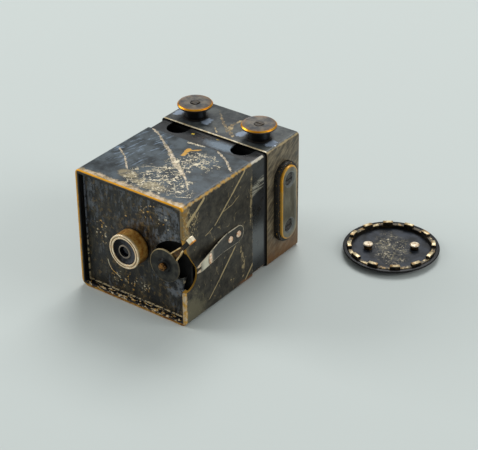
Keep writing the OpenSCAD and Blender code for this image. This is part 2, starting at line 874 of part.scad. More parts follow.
module knob_washers() {
  color(brass) for (s = [-1, 1]) translate([s * spool_x, spool_y, body_h]) difference() {
    cylinder(h = washer_t, r = washer_r);
    translate([0, 0, -over]) cylinder(h = washer_t + 2 * over, r = spindle_r + run_fit);
  }
}

// A mushroom knob at side s, with a recess in its top of the shape given as a child
module knob(s) {
  low = body_h + washer_t + knob_play;
  head = knob_top - knob_head_t;
  color(black) translate([s * spool_x, spool_y, 0]) difference() {
    rotate_extrude() polygon([[0, low], [stem_r, low], [stem_r, head], [knob_r - bevel, head],
      [knob_r, head + bevel], [knob_r, knob_top - bevel], [knob_r - bevel, knob_top], [0, knob_top]]);
    translate([0, 0, low - over]) cylinder(h = knob_h + 2 * over, r = spindle_r);
    translate([0, 0, knob_top - bevel]) linear_extrude(bevel + over) children();
  }
}

module left_knob() {
  knob(-1) square(spindle_square, center = true);
}

module right_knob() {
  knob(1) circle(spindle_head_r);
}

// The wide base of a grip at side s
module grip_base(s) {
  inner = body_w / 2;
  color(black) mirror([s > 0 ? 0 : 1, 0, 0]) difference() {
    along_x(inner, inner + grip_base_t) translate([grip_y, lens_z])
      obround(grip_w + 2 * grip_step, grip_h + 2 * grip_step);
    for (sz = [-1, 1])
      x_bar(grip_y, lens_z + sz * grip_pitch / 2, inner - over, inner + grip_base_t + over, grip_screw_r);
  }
}

module left_grip_base() {
  grip_base(-1);
}

module right_grip_base() {
  grip_base(1);
}

// A hole through the raised plate that widens outwards from a screw's head
module countersink() {
  slope = grip_sink_w / grip_plate_t;
  rotate([0, 90, 0]) translate([0, 0, -over]) cylinder(h = grip_plate_t + 2 * over,
    r1 = grip_head_r + run_fit - over * slope, r2 = grip_hole_r + run_fit + over * slope);
}

// The raised plate of a grip at side s
module grip_plate(s) {
  inner = body_w / 2 + grip_base_t;
  color("#7a6a52") mirror([s > 0 ? 0 : 1, 0, 0]) difference() {
    along_x(inner, inner + grip_plate_t) translate([grip_y, lens_z]) obround(grip_w, grip_h);
    for (sz = [-1, 1]) translate([inner, grip_y, lens_z + sz * grip_pitch / 2]) countersink();
  }
}

module left_grip_plate() {
  grip_plate(-1);
}

module right_grip_plate() {
  grip_plate(1);
}

module grip_screws() {
  wall_in = body_w / 2 - back_wall;
  seat = body_w / 2 + grip_base_t;
  color("#c9a86a") for (s = [0, 1], sz = [-1, 1]) mirror([s, 0, 0])
    translate([0, grip_y, lens_z + sz * grip_pitch / 2]) difference() {
      union() {
        x_bar(0, 0, wall_in, seat + eps, grip_screw_r);
        x_bar(0, 0, seat, seat + grip_head_t, grip_head_r);
      }
      translate([seat + grip_head_t / 2, -grip_head_r, -screw_slot / 2])
        cube([over, 2 * grip_head_r, screw_slot]);
    }
}

// Places a shape that is drawn from the middle of the cap
module at_cap() {
  translate([cap_x, cap_y, 0]) children();
}

module cap_disc() {
  top = cap_t + cap_lip;
  color(black) at_cap() rotate_extrude() polygon([[0, 0], [cap_r - cap_foot, 0],
    [cap_r - cap_round, cap_edge - cap_round], [cap_r, cap_edge], [cap_r - cap_round, top],
    [collar_r, top], [collar_r, cap_t], [0, cap_t]]);
}

module cap_collar() {
  tooth_angle = 2 * asin(tooth_w / 2 / collar_r);
  pitch = 360 / teeth;
  color("#8d7444") at_cap() translate([0, 0, cap_t]) difference() {
    cylinder(h = collar_h + tooth_h, r = collar_r);
    translate([0, 0, -over]) cylinder(h = collar_h + tooth_h + 2 * over, r = collar_r - collar_wall);
    for (i = [0:teeth - 1]) rotate(tooth_phase + pitch * i + tooth_angle / 2) translate([0, 0, collar_h])
      linear_extrude(tooth_h + over) polygon(wedge(0, pitch - tooth_angle, collar_r));
  }
}

module cap_studs() {
  top = cap_t + collar_h + tooth_h - stud_drop;
  color(brass) at_cap() rotate(stud_axis) for (s = [-1, 1]) translate([s * stud_out, 0, 0]) {
    translate([0, 0, cap_t]) cylinder(h = top - cap_t, r = cap_post_r);
    translate([0, 0, top - cap_head_t]) cylinder(h = cap_head_t, r = cap_stud_r);
  }
}

front_case();
front_plate();
lens_barrel();
lens_stop();
front_lens();
front_lens_ring();
lens_board();
rear_lens_cell();
rear_lens();
rear_lens_ring();
shutter_hub();
shutter_lever();
lever_tab();
shutter_spindle();
shutter_blade();
spindle_nut();
shutter_spring();
leaf_foot();
leaf_blade();
leaf_button();
leaf_rivets();
inner_sleeve();
film_back_shell();
film_back_rear();
window_ring();
spool_frame();
spindle_bushes();
feed_spindle();
takeup_spindle();
feed_spool();
takeup_spool();
feed_film_roll();
takeup_film_roll();
film_strip();
left_guide_roller();
right_guide_roller();
roller_pins();
knob_washers();
left_knob();
right_knob();
left_grip_base();
right_grip_base();
left_grip_plate();
right_grip_plate();
grip_screws();
cap_disc();
cap_collar();
cap_studs();
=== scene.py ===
# Looks of the miniature box camera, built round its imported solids.
# Lengths and places are in millimetres in the part's own frame, and MM turns them into metres.
import math

import bmesh
import bpy
from mathutils import Matrix, Vector


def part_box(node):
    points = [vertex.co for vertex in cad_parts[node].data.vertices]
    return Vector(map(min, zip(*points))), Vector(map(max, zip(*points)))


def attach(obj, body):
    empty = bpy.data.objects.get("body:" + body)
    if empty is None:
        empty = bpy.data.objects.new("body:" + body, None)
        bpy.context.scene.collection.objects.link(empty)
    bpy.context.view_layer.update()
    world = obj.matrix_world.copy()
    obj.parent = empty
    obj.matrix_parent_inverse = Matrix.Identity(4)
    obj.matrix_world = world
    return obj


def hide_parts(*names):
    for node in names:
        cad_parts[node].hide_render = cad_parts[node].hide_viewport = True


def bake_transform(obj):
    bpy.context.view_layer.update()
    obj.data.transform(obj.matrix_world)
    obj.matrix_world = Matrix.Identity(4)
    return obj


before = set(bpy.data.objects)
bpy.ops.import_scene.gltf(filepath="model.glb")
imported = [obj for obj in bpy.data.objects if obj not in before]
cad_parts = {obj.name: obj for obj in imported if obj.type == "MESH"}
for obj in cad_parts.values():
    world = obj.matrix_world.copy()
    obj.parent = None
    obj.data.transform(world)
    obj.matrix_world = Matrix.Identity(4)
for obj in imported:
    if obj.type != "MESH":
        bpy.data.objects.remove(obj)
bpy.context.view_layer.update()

MM = 0.001
FRONT = (0, -1, 0)
REAR = (0, 1, 0)
RIGHT = (1, 0, 0)
LEFT = (-1, 0, 0)
UP = (0, 0, 1)


def node_box(node):
    """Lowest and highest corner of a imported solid."""
    low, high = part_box(node)
    return low / MM, high / MM


def node_middle(node):
    low, high = node_box(node)
    return (low + high) / 2


def add_object(name, data):
    """A new object in the scene."""
    piece = bpy.data.objects.new(name, data)
    bpy.context.scene.collection.objects.link(piece)
    return piece


# Camera: seen from the front right and above
VIEW_AZIMUTH = 36.916
VIEW_ELEVATION = 30.983
VIEW_ROLL = -0.5155
VIEW_DISTANCE = 496.5
VIEW_TARGET = Vector((16.9, 15.0, 19.05))
FOCAL_LENGTH = 121.2


def make_camera():
    azimuth = math.radians(VIEW_AZIMUTH)
    elevation = math.radians(VIEW_ELEVATION)
    back = Vector((math.sin(azimuth) * math.cos(elevation), -math.cos(azimuth) * math.cos(elevation),
                   math.sin(elevation)))
    across = Vector(UP).cross(back).normalized()
    above = back.cross(across)
    turn = Matrix.Rotation(math.radians(VIEW_ROLL), 3, back)
    across = turn @ across
    above = turn @ above
    camera = add_object("camera_view", bpy.data.cameras.new("camera_view"))
    camera.data.lens = FOCAL_LENGTH
    camera.data.clip_start = 0.01
    camera.data.clip_end = 20
    camera.matrix_world = Matrix.Translation((VIEW_TARGET + back * VIEW_DISTANCE) * MM) @ Matrix(
        (across, above, back)).transposed().to_4x4()
    bpy.context.scene.camera = camera


make_camera()


# Outlines and mesh tools

def rounded(corners, steps):
    """A closed outline through corners given as (x, y, radius), with each radius as an arc."""
    points = []
    for i, (x, y, radius) in enumerate(corners):
        here = Vector((x, y))
        if radius == 0:
            points.append(here)
            continue
        before = (Vector(corners[i - 1][:2]) - here).normalized()
        after = (Vector(corners[(i + 1) % len(corners)][:2]) - here).normalized()
        half = before.angle(after) / 2
        centre = here + (before + after).normalized() * radius / math.sin(half)
        start = here + before * radius / math.tan(half) - centre
        end = here + after * radius / math.tan(half) - centre
        for k in range(steps + 1):
            points.append(centre + start.lerp(end, k / steps).normalized() * radius)
    return points


def box_outline(width, height, radii, inset):
    """The body's outline in X and Z, drawn in by inset, with corners from the bottom left anticlockwise."""
    w = width / 2 - inset
    corners = [(-w, inset), (w, inset), (w, height - inset), (-w, height - inset)]
    return rounded([(x, z, max(r - inset, 0.2)) for (x, z), r in zip(corners, radii)], 8)


def obround(width, height, inset, steps):
    """An outline with round ends, long in its second direction, anticlockwise."""
    radius = width / 2 - inset
    rise = (height - width) / 2
    points = []
    for sign, start in ((1, 0.0), (-1, math.pi)):
        for k in range(steps + 1):
            angle = start + math.pi * k / steps
            points.append(Vector((radius * math.cos(angle), sign * rise + radius * math.sin(angle))))
    return points


def add_mesh(name, points, faces):
    """A mesh object from points in millimetres, with doubles merged and its faces turned outwards."""
    mesh = bpy.data.meshes.new(name)
    mesh.from_pydata([Vector(p) * MM for p in points], [], faces)
    work = bmesh.new()
    work.from_mesh(mesh)
    bmesh.ops.remove_doubles(work, verts=work.verts, dist=0.0005 * MM)
    bmesh.ops.dissolve_degenerate(work, edges=work.edges, dist=0.0005 * MM)
    bmesh.ops.recalc_face_normals(work, faces=work.faces)
    work.to_mesh(mesh)
    work.free()
    return add_object(name, mesh)


def loft(name, rings, loop=False):
    """A closed skin over rings of as many points each. A loop joins the last ring to the first."""
    n = len(rings[0])
    faces = []
    for a in range(len(rings) if loop else len(rings) - 1):
        b = (a + 1) % len(rings)
        for i in range(n):
            j = (i + 1) % n
            faces.append((a * n + i, a * n + j, b * n + j, b * n + i))
    if not loop:
        faces.append(tuple(reversed(range(n))))
        faces.append(tuple(range((len(rings) - 1) * n, len(rings) * n)))
    return add_mesh(name, [p for ring in rings for p in ring], faces)


def facing(direction, centre):
    """Places a shape that is drawn about its own +Z so that it faces a direction from a centre."""
    turn = Vector(direction).to_track_quat("Z", "Y")
    return Matrix.Translation(Vector(centre)) @ turn.to_matrix().to_4x4()


def lathe(name, profile, direction, centre, steps):
    """A turned solid: the closed profile is (radius, height) along the direction from the centre."""
    place = facing(direction, centre)
    rings = []
    for k in range(steps):
        c = math.cos(2 * math.pi * k / steps)
        s = math.sin(2 * math.pi * k / steps)
        rings.append([place @ Vector((radius * c, radius * s, height)) for radius, height in profile])
    return loft(name, rings, loop=True)


def join(name, pieces):
    """One object from several."""
    work = bmesh.new()
    for piece in pieces:
        work.from_mesh(piece.data)
        bpy.data.objects.remove(piece)
    mesh = bpy.data.meshes.new(name)
    work.to_mesh(mesh)
    work.free()
    return add_object(name, mesh)


def cut(piece, cutters, operation="DIFFERENCE"):
    """Takes the cutters out of a piece, or keeps only what lies inside them."""
    for cutter in cutters:
        step = piece.modifiers.new("cut", "BOOLEAN")
        step.operation = operation
        step.solver = "EXACT"
        step.object = cutter
    bpy.context.view_layer.update()
    mesh = bpy.data.meshes.new_from_object(piece.evaluated_get(bpy.context.evaluated_depsgraph_get()))
    piece.modifiers.clear()
    piece.data = mesh
    for cutter in cutters:
        bpy.data.objects.remove(cutter)


def ease(piece, width, segments=2):
    """Rounds the edges of a piece that are sharper than 40 degrees."""
    step = piece.modifiers.new("ease", "BEVEL")
    step.width = width * MM
    step.segments = segments
    step.limit_method = "ANGLE"
    step.angle_limit = math.radians(40)
    cut(piece, [])


def rod(radius, direction, centre, length):
    """A plain round cutter."""
    return lathe("rod", [(0, 0), (radius, 0), (radius, length), (0, length)], direction, centre, 64)


def dress(piece, material, body, nodes, smooth=35):
    """Gives a piece its finish, smooth shading and its body, and hides the solids that it stands for."""
    piece.data.materials.clear()
    piece.data.materials.append(material)
    piece.data.shade_smooth()
    piece.data.set_sharp_from_angle(angle=math.radians(smooth))
    if body:
        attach(piece, body)
    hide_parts(*nodes)


# Places that the pieces and their finishes share

case_low, case_high = node_box("front_case")
back_low, back_high = node_box("film_back_shell")
plate_low, plate_high = node_box("front_plate")
BODY_W = case_high.x - case_low.x
BODY_H = case_high.z
HALF_W = BODY_W / 2
LENS_Z = BODY_H / 2
LENS_TIP_Y = node_box("lens_barrel")[0].y
PLATE_Y = plate_low.y
RIM_Y = case_low.y
PIVOT = node_middle("shutter_spindle")
LEVER_ANGLE = math.radians(50)
KNOB_X = node_middle("right_knob").x
KNOB_Y = node_middle("right_knob").y
KNOB_TOP = node_box("right_knob")[1].z
CAP = Vector((node_middle("cap_disc").x, node_middle("cap_disc").y, 0))
GRIP_Y = node_middle("right_grip_plate").y
GRIP_SCREW_Z = 8.35
LEAF_Z = node_middle("leaf_foot").z
LEAF_Y = node_box("leaf_foot")[0].y
LEAF_END_Y = node_box("leaf_foot")[1].y
LEAF_HALF = 2.9
LEAF_TAPER = 0.081
LEAF_RIVETS_Y = (LEAF_Y + 1.7, LEAF_END_Y - 2.7)
BUTTON_Y = node_middle("leaf_button").y

CORNER_RADII = (2.4, 1.5, 1.5, 1.5)
BACK_RADII = (1.2, 1.2, 1.2, 1.2)
CASE_WALL = 0.6
RIM_W = 1.4
BARREL_R = 5.7
BARREL_BORE = 4.3
SPIGOT_R = BARREL_R - 0.5
SPINDLE_R = 0.85
HUB_R = 5.5
STOP_R = 1.73
SLEEVE_WALL = 0.55
BACK_WALL = 0.5
KNOB_R = 5.7
KNOB_STEM_R = 3.5
GRIP_W = 8.2
GRIP_H = 26.0
GRIP_STRAIGHT = (GRIP_H - GRIP_W) / 2
STUD_AXIS = 34


# Node materials

TRAIL_OVERLAP = 1.15
SOFT_EDGE = 0.35


def srgb(red, green, blue):
    """A linear colour from screen values of 0 to 255."""
    def linear(v):
        v /= 255
        return v / 12.92 if v <= 0.04045 else ((v + 0.055) / 1.055) ** 2.4
    return (linear(red), linear(green), linear(blue), 1)


class Value:
    """A number that nodes make. Arithmetic with it adds nodes to its finish."""

    def __init__(self, finish, socket):
        self.finish = finish
        self.socket = socket

    def __add__(self, other):
        return self.finish.math("ADD", self, other)

    def __radd__(self, other):
        return self.finish.math("ADD", other, self)

    def __sub__(self, other):
        return self.finish.math("SUBTRACT", self, other)

    def __rsub__(self, other):
        return self.finish.math("SUBTRACT", other, self)

    def __mul__(self, other):
        return self.finish.math("MULTIPLY", self, other)

    def __abs__(self):
        return self.finish.math("ABSOLUTE", self)


class Finish:
    """A node material. Its places are in millimetres in the piece's own coordinates."""

    def __init__(self, name, color=(0.5, 0.5, 0.5, 1), metallic=0.0, roughness=0.5, specular=0.5):
        self.material = bpy.data.materials.new(name)
        self.material.use_nodes = True
        self.tree = self.material.node_tree
        self.shader = self.tree.nodes["Principled BSDF"]
        self.fill(self.shader, {"Base Color": color, "Metallic": metallic, "Roughness": roughness,
                                "Specular IOR Level": specular})
        coordinates = self.node("TexCoord", {})
        self.place = self.vector("MULTIPLY", coordinates.outputs["Object"], (1 / MM,) * 3)
        self.x, self.y, self.z = self.split(self.place)
        self.planes = {}
        self.color = None
        self.face_x, _, self.face_z = self.split(coordinates.outputs["Normal"])

    def fill(self, node, inputs):
        """Links or sets the inputs of a node, and leaves those that are None."""
        for key, value in inputs.items():
            if isinstance(value, Value):
                value = value.socket
            if isinstance(value, bpy.types.NodeSocket):
                self.tree.links.new(value, node.inputs[key])
            elif value is not None:
                node.inputs[key].default_value = value

    def node(self, kind, inputs, **settings):
        """A new node with its settings and inputs."""
        node = self.tree.nodes.new("ShaderNode" + kind)
        for key, value in settings.items():
            setattr(node, key, value)
        self.fill(node, inputs)
        return node

    def split(self, vector):
        return [Value(self, socket) for socket in self.node("SeparateXYZ", {0: vector}).outputs]

    def done(self, bump=None, **values):
        """The finished material. Values go to the shader's sockets, named with underscores for spaces, and
        a bump is a height mask, its depth in millimetres and its strength."""
        self.fill(self.shader, {"Base Color": self.color})
        self.fill(self.shader, {key.replace("_", " "): value for key, value in values.items()})
        if bump:
            height, depth, strength = bump
            node = self.node("Bump", {"Height": height, "Distance": depth * MM, "Strength": strength})
            self.fill(self.shader, {"Normal": node.outputs[0]})
        return self.material

    def vector(self, operation, a, b):
        return self.node("VectorMath", {0: a, 1: b}, operation=operation).outputs["Vector"]

    def length(self, vector):
        return Value(self, self.node("VectorMath", {0: vector}, operation="LENGTH").outputs["Value"])

    def combine(self, x, y, z=0.0):
        return self.node("CombineXYZ", {0: x, 1: y, 2: z}).outputs[0]

    def plane(self, axes):
        """The place without its third coordinate, for two axes such as "xy"."""
        if axes not in self.planes:
            values = {"x": self.x, "y": self.y, "z": self.z}
            self.planes[axes] = self.combine(values[axes[0]], values[axes[1]])
        return self.planes[axes]

    def math(self, operation, a, b=None):
        return Value(self, self.node("Math", {0: a, 1: b}, operation=operation).outputs[0])

    def least(self, first, *others):
        for other in others:
            first = self.math("MINIMUM", first, other)
        return first

    def most(self, first, *others):
        for other in others:
            first = self.math("MAXIMUM", first, other)
        return first

    def size(self, a, b):
        """Length of the flat vector (a, b)."""
        return self.length(self.combine(a, b))

    def step(self, value, low, high):
        """0 at low and 1 at high, smooth between them. Low may be the larger of the two."""
        inputs = {"Value": value, "From Min": min(low, high), "From Max": max(low, high)}
        if low > high:
            inputs.update({"To Min": 1, "To Max": 0})
        node = self.node("MapRange", inputs, interpolation_type="SMOOTHSTEP", clamp=False)
        return Value(self, node.outputs["Result"])

    def noise(self, size, detail=4.0, rough=0.55, place=None, stretch=(1, 1, 1), shift=0.0):
        """Noise from 0 to 1 with features of a size in millimetres, stretched along the axes."""
        scale = [1 / (size * s) for s in stretch]
        return Value(self, self.noise_node(place or self.place, scale, detail, rough, shift).outputs["Fac"])

    def noise_node(self, place, scale, detail, rough, shift):
        scaled = self.vector("MULTIPLY", place, scale)
        if shift:
            scaled = self.vector("ADD", scaled, (shift, shift * 0.7, shift * 1.3))
        return self.node("TexNoise", {"Vector": scaled, "Scale": 1, "Detail": detail, "Roughness": rough})

    def mix(self, factor, a, b):
        return self.node("Mix", {"Factor": factor, 6: a, 7: b}, data_type="RGBA").outputs[2]

    def tones(self, value, a, b, low=0.4, high=0.6):
        """A colour that goes from a at low to b at high."""
        return self.mix(self.step(value, low, high), a, b)

    def coat(self, mask, tone):
        """Paints a tone over the colour where the mask is 1."""
        self.color = self.mix(mask, self.color, tone)

    def blend(self, factor, a, b):
        """A number between a and b."""
        return Value(self, self.node("Mix", {"Factor": factor, 2: a, 3: b}).outputs[0])

    def frayed(self, axes, amount, size):
        """A plane whose places are shifted about by a noise, in millimetres."""
        node = self.noise_node(self.place, [1 / size] * 3, 4.0, 0.65, 2.0)
        shift = self.vector("SUBTRACT", node.outputs["Color"], (0.5, 0.5, 0.5))
        return self.vector("ADD", self.plane(axes), self.vector("MULTIPLY", shift, (amount, amount, 0)))

    def mapped(self, place, centre, radii, angle):
        """A flat place seen from a centre and an angle, in units of two radii."""
        inputs = {"Vector": place, "Location": (*centre, 0), "Rotation": (0, 0, angle),
                  "Scale": (*radii, 1)}
        return self.node("Mapping", inputs, vector_type="TEXTURE").outputs[0]

    def trails(self, axes, chains, amount, size=1.4):
        """A mask of frayed scratches. Each runs through (u, v, width) points of a plane."""
        place = self.frayed(axes, amount, size)
        nearest = None
        for chain in chains:
            for (u0, v0, w0), (u1, v1, w1) in zip(chain, chain[1:]):
                reach = math.hypot(u1 - u0, v1 - v0) * TRAIL_OVERLAP / 2
                seen = self.mapped(place, ((u0 + u1) / 2, (v0 + v1) / 2), (reach, (w0 + w1) / 4),
                                   math.atan2(v1 - v0, u1 - u0))
                far = self.length(self.vector("MULTIPLY", seen, seen))
                nearest = far if nearest is None else self.least(nearest, far)
        return self.step(nearest, 1.0, 1.0 - SOFT_EDGE)

    def squiggles(self, size, width, broken, shift, place=None, stretch=(1, 1, 1)):
        """Short curly strokes: the contour of one noise, broken by another."""
        line = abs(self.noise(size, 1.5, 0.5, place=place, stretch=stretch, shift=shift) - 0.5)
        gaps = self.noise(size * 0.9, 2, 0.5, shift=shift + 5)
        return self.step(line, width, width * 0.45) * self.step(gaps, broken, broken + 0.05)

    def zone(self, axes, centre, radii, rough=None, amount=0.0, soft=SOFT_EDGE, angle=0.0):
        """An oval patch on a plane, with an edge that a noise may make rough by an amount."""
        far = self.length(self.mapped(self.plane(axes), centre, radii, angle))
        if rough is not None:
            far = far + (rough - 0.5) * amount
        return self.step(far, 1.0, 1.0 - soft)

    def turned(self, angle):
        """The place turned about +Z, for streaks that run aslant on the top."""
        c = math.cos(math.radians(angle))
        s = math.sin(math.radians(angle))
        return self.combine(self.x * c + self.y * s, self.y * c - self.x * s, self.z)


CREAM = srgb(224, 212, 184)
CREAM_PINK = srgb(212, 190, 158)
TAN = srgb(182, 162, 120)
TAN_DARK = srgb(120, 100, 66)
GOLD = srgb(206, 156, 66)
ORANGE_GOLD = srgb(224, 156, 16)
ORANGE_BROWN = srgb(128, 76, 20)
SLATE_DARK = srgb(34, 40, 43)
SLATE = srgb(78, 88, 94)
SLATE_BLUE = srgb(112, 128, 144)
BROWN_BLACK = srgb(33, 30, 24)
BROWN_GREY = srgb(68, 63, 52)
FLOOR_BOUNCE_OLIVE = srgb(118, 112, 88)
INK = srgb(12, 12, 13)


def sides(f, front, rear):
    """Distances from the right, left, top, front and rear of a box."""
    return HALF_W - f.x, f.x + HALF_W, BODY_H - f.z, f.y - front, rear - f.y


def lever_axes(f):
    """The place along the lever from its pivot, and across it."""
    u = f.x - PIVOT.x
    v = f.z - PIVOT.z
    c = math.cos(LEVER_ANGLE)
    s = math.sin(LEVER_ANGLE)
    return u * c + v * s, v * c - u * s


def case_finish():
    """Slate top and brown-black sides under scratches, strokes and worn edges, with painted floor bounce
    low on the right side and a painted highlight on the top right front corner.
    """
    f = Finish("case_skin", specular=0.3)
    to_right, to_left, to_top, to_front, to_rear = sides(f, RIM_Y, case_high.y)
    depth = f.least(to_right, to_left, to_top, f.z)
    top = f.step(to_top, 0.5, 0.3)
    right = f.step(to_right, 0.5, 0.3)
    coarse = f.noise(6, 5, 0.6)
    fine = f.noise(1.2, 5, 0.65, shift=4)
    grit = f.noise(0.5, 3, 0.6, shift=6)
    ragged = f.noise(1.8, 5, 0.65, shift=2)

    slate = f.tones(coarse, SLATE_DARK, SLATE, 0.35, 0.65)
    slate = f.mix(f.step(fine, 0.5, 0.62) * 0.35, slate, SLATE_DARK)
    streaks = f.noise(0.8, 4, 0.6, place=f.turned(-12), stretch=(1, 5, 1), shift=9)
    slate = f.mix(f.step(streaks, 0.52, 0.66) * f.zone("xy", (-13, 5), (10, 15), coarse, 0.8), slate,
                  SLATE_BLUE)
    side = f.tones(f.noise(2.2, 7, 0.7, shift=11), BROWN_BLACK, BROWN_GREY, 0.36, 0.66)
    # Painted floor bounce: the right side is painted lighter olive-grey low at the front, where light from
    # the floor falls on it.
    side = f.mix(f.zone("yz", (-14, 3), (9, 9), ragged, 1.4, 0.7) * right * 0.7, side, FLOOR_BOUNCE_OLIVE)
    f.color = f.mix(top, side, slate)

    curls = f.most(f.squiggles(1.8, 0.05, 0.53, 3, f.turned(30), (2.4, 0.8, 1)),
                   f.squiggles(1.6, 0.05, 0.54, 14, f.turned(-45), (2.2, 0.8, 1)),
                   f.squiggles(1.4, 0.055, 0.55, 36, f.turned(80), (2.0, 0.8, 1)),
                   f.squiggles(2.4, 0.032, 0.5, 25))
    crowd = f.most(f.zone("xy", (5, -8), (17, 11), coarse, 1.3, 0.9),
                   f.zone("xy", (4, 3), (9, 9), coarse, 1.3, 0.9) * 0.85,
                   f.zone("xy", (7, 8), (12, 9), coarse, 1.2, 0.8) * 0.62)
    curls = curls * f.step(crowd + fine * 0.9, 0.72, 0.95)
    dots = f.step(grit, 0.66, 0.7) * f.step(crowd + coarse * 0.6, 0.5, 0.9)
    scratch = f.trails("xy", [
        [(-18, 17, 0.7), (-13.6, 14.8, 0.8), (-8.2, 10.9, 0.9), (-4.1, 8.1, 1.5), (0.7, 4.1, 2.0),
         (5.1, 1.2, 2.2), (8.5, -1.2, 1.2), (10.6, -2.7, 0.6), (15, -7.1, 0.4)],
        [(-18, 0.9, 0.9), (-13.7, -2, 0.5), (-7.5, -7.9, 0.6)],
        [(7.3, 17, 0.7), (13.2, 13.6, 0.9), (18.6, 9, 0.6)]], 1.5, 0.8)
    scratch = scratch * f.blend(f.step(f.noise(0.5, 3, 0.6, shift=8), 0.4, 0.5), 0.28, 1.0)
    pale = f.trails("xy", [
        [(-3.4, 16, 0.5), (-0.6, 16.4, 1.3), (2.9, 16.7, 0.8)],
        [(9, 13.5, 0.6), (10.5, 11.5, 1.0), (12, 11.5, 0.3)],
        [(1, -1, 0.3), (-3, -2.6, 0.2), (-6, -5.5, 0.3)], [(4, 1.5, 1.2), (1.5, -2, 0.5), (-3, -8, 0.25)],
        [(14, -13, 0.5), (18.4, -10.6, 0.3)], [(7, -5, 0.9), (3, -9, 0.5)]], 1.4, 0.8)
    pale = pale * f.step(grit, 0.42, 0.52)
    patch = f.most(f.zone("xy", (-5.5, -10), (4.5, 2.6), ragged, 1.3),
                   f.zone("xy", (4, -11.5), (7, 3), ragged, 2.2)) * 0.75
    orange = f.trails("xy", [[(0.6, 8.2, 0.8), (0.3, 10.4, 2.2), (-0.2, 13.0, 1.4)],
                             [(0.8, 12.4, 0.9), (3.2, 14.4, 0.5)]], 1.4, 0.9)
    f.coat(patch * top * f.step(ragged, 0.36, 0.5), srgb(154, 140, 106))
    f.coat(scratch * top, f.tones(fine, srgb(216, 200, 176), srgb(150, 136, 108)))
    f.coat(f.most(curls, dots, pale) * top, f.tones(ragged, CREAM, srgb(176, 166, 138), 0.42, 0.6))
    f.coat(orange * top, GOLD)

    side_marks = f.trails("yz", [
        [(13.4, 40.5, 0.9), (6, 34.5, 0.5), (0, 29.9, 0.7), (-2, 28.4, 0.2)],
        [(-3, 28.2, 0.2), (-5, 27.4, 0.35), (-6.6, 27.1, 0.2)],
        [(10.2, 33.1, 0.15), (6.6, 31.5, 0.3), (2, 31.2, 0.15)],
        [(8.1, 16.1, 0.8), (0, 8.5, 0.6), (-5.2, 4, 0.35)], [(18, 6.5, 0.5), (13, 1.4, 0.9)],
        [(-6.6, 40.1, 1.2), (-11, 37.2, 1.0), (-15.5, 34.6, 1.6)], [(5.4, 5.2, 0.5), (6, 5.2, 0.3)],
        [(-12, 33, 0.2), (-9.5, 36.5, 0.3)]], 0.45)
    broken = f.trails("yz", [[(10.9, 14.5, 0.5), (12.1, 9, 2.0), (11.9, 3.2, 0.8)],
                             [(15.9, 21, 1.2), (16.5, 36, 0.6)]], 1.5) * f.step(fine, 0.42, 0.56)
    flecks = (f.most(f.squiggles(1.3, 0.06, 0.5, 31), f.step(grit, 0.66, 0.7))
              * f.zone("yz", (-14.5, 35), (6, 8), ragged, 0.6, 0.5))
    hairs = f.squiggles(2.6, 0.016, 0.56, 41, stretch=(1, 1, 2.2)) * 0.45
    side_mask = f.most(side_marks, broken * 0.8, flecks * 0.9, hairs) * right
    f.coat(side_mask, TAN)

    def wear(distance, width, amount, strength=1.0, size_noise=ragged):
        """Rubbed metal along an edge, with a ragged inner side."""
        far = distance + (size_noise - 0.5) * amount
        return f.step(far, width, width * 0.5) * strength

    top_front = f.most(to_top, to_front)
    top_right = f.most(to_top, to_right)
    top_left = f.most(to_top, to_left)
    right_front = f.most(to_right, to_front)
    left_front = f.most(to_left, to_front)
    low_front = f.most(f.z, to_front)
    low_right = f.most(f.z, to_right)
    rear_right = f.most(to_rear, to_right)
    f.coat(wear(top_front, 2.6, 4.5, 0.85) * top, f.tones(fine, CREAM_PINK, srgb(156, 134, 94), 0.42, 0.6))
    f.coat(wear(top_right, 0.95, 1.6, 0.9), f.tones(fine, TAN, GOLD))
    f.coat(wear(top_left, 0.55, 1.4, 0.8), TAN_DARK)
    shoulder = f.step(f.z, 20, 33)
    f.coat(wear(right_front, 3.4, 3.0, 0.4) * shoulder, f.tones(fine, TAN, GOLD))
    f.coat(wear(right_front, 1.3, 1.2, 0.95) * f.step(f.z, 14, 12), f.tones(fine, CREAM_PINK, GOLD))
    f.coat(wear(left_front, 1.1, 0.9, 0.85), f.tones(fine, ORANGE_GOLD, GOLD))
    f.coat(wear(low_front, 1.2, 1.2, 0.9), f.tones(fine, ORANGE_BROWN, GOLD))
    f.coat(wear(low_right, 2.2, 3.0, 0.8) * f.step(f.y, 7, 14), ORANGE_BROWN)
    f.coat(wear(low_right, 0.5, 0.9, 0.8), ORANGE_BROWN)
    f.coat(wear(rear_right, 0.4, 0.9, 0.6, fine) * f.step(fine, 0.45, 0.6), TAN)
    line = f.most(wear(top_front, 0.5, 0.3), wear(left_front, 0.36, 0.25, 0.9),
                  wear(low_front, 0.4, 0.3, 0.9))
    f.coat(line, ORANGE_GOLD)
    # Painted highlight: an orange-gold spot on the rounded top right front corner.
    corner = f.step(f.size(f.size(to_right, to_top), to_front), 1.4, 0.9) * f.step(f.x, 0, 1)
    f.coat(corner, ORANGE_GOLD)

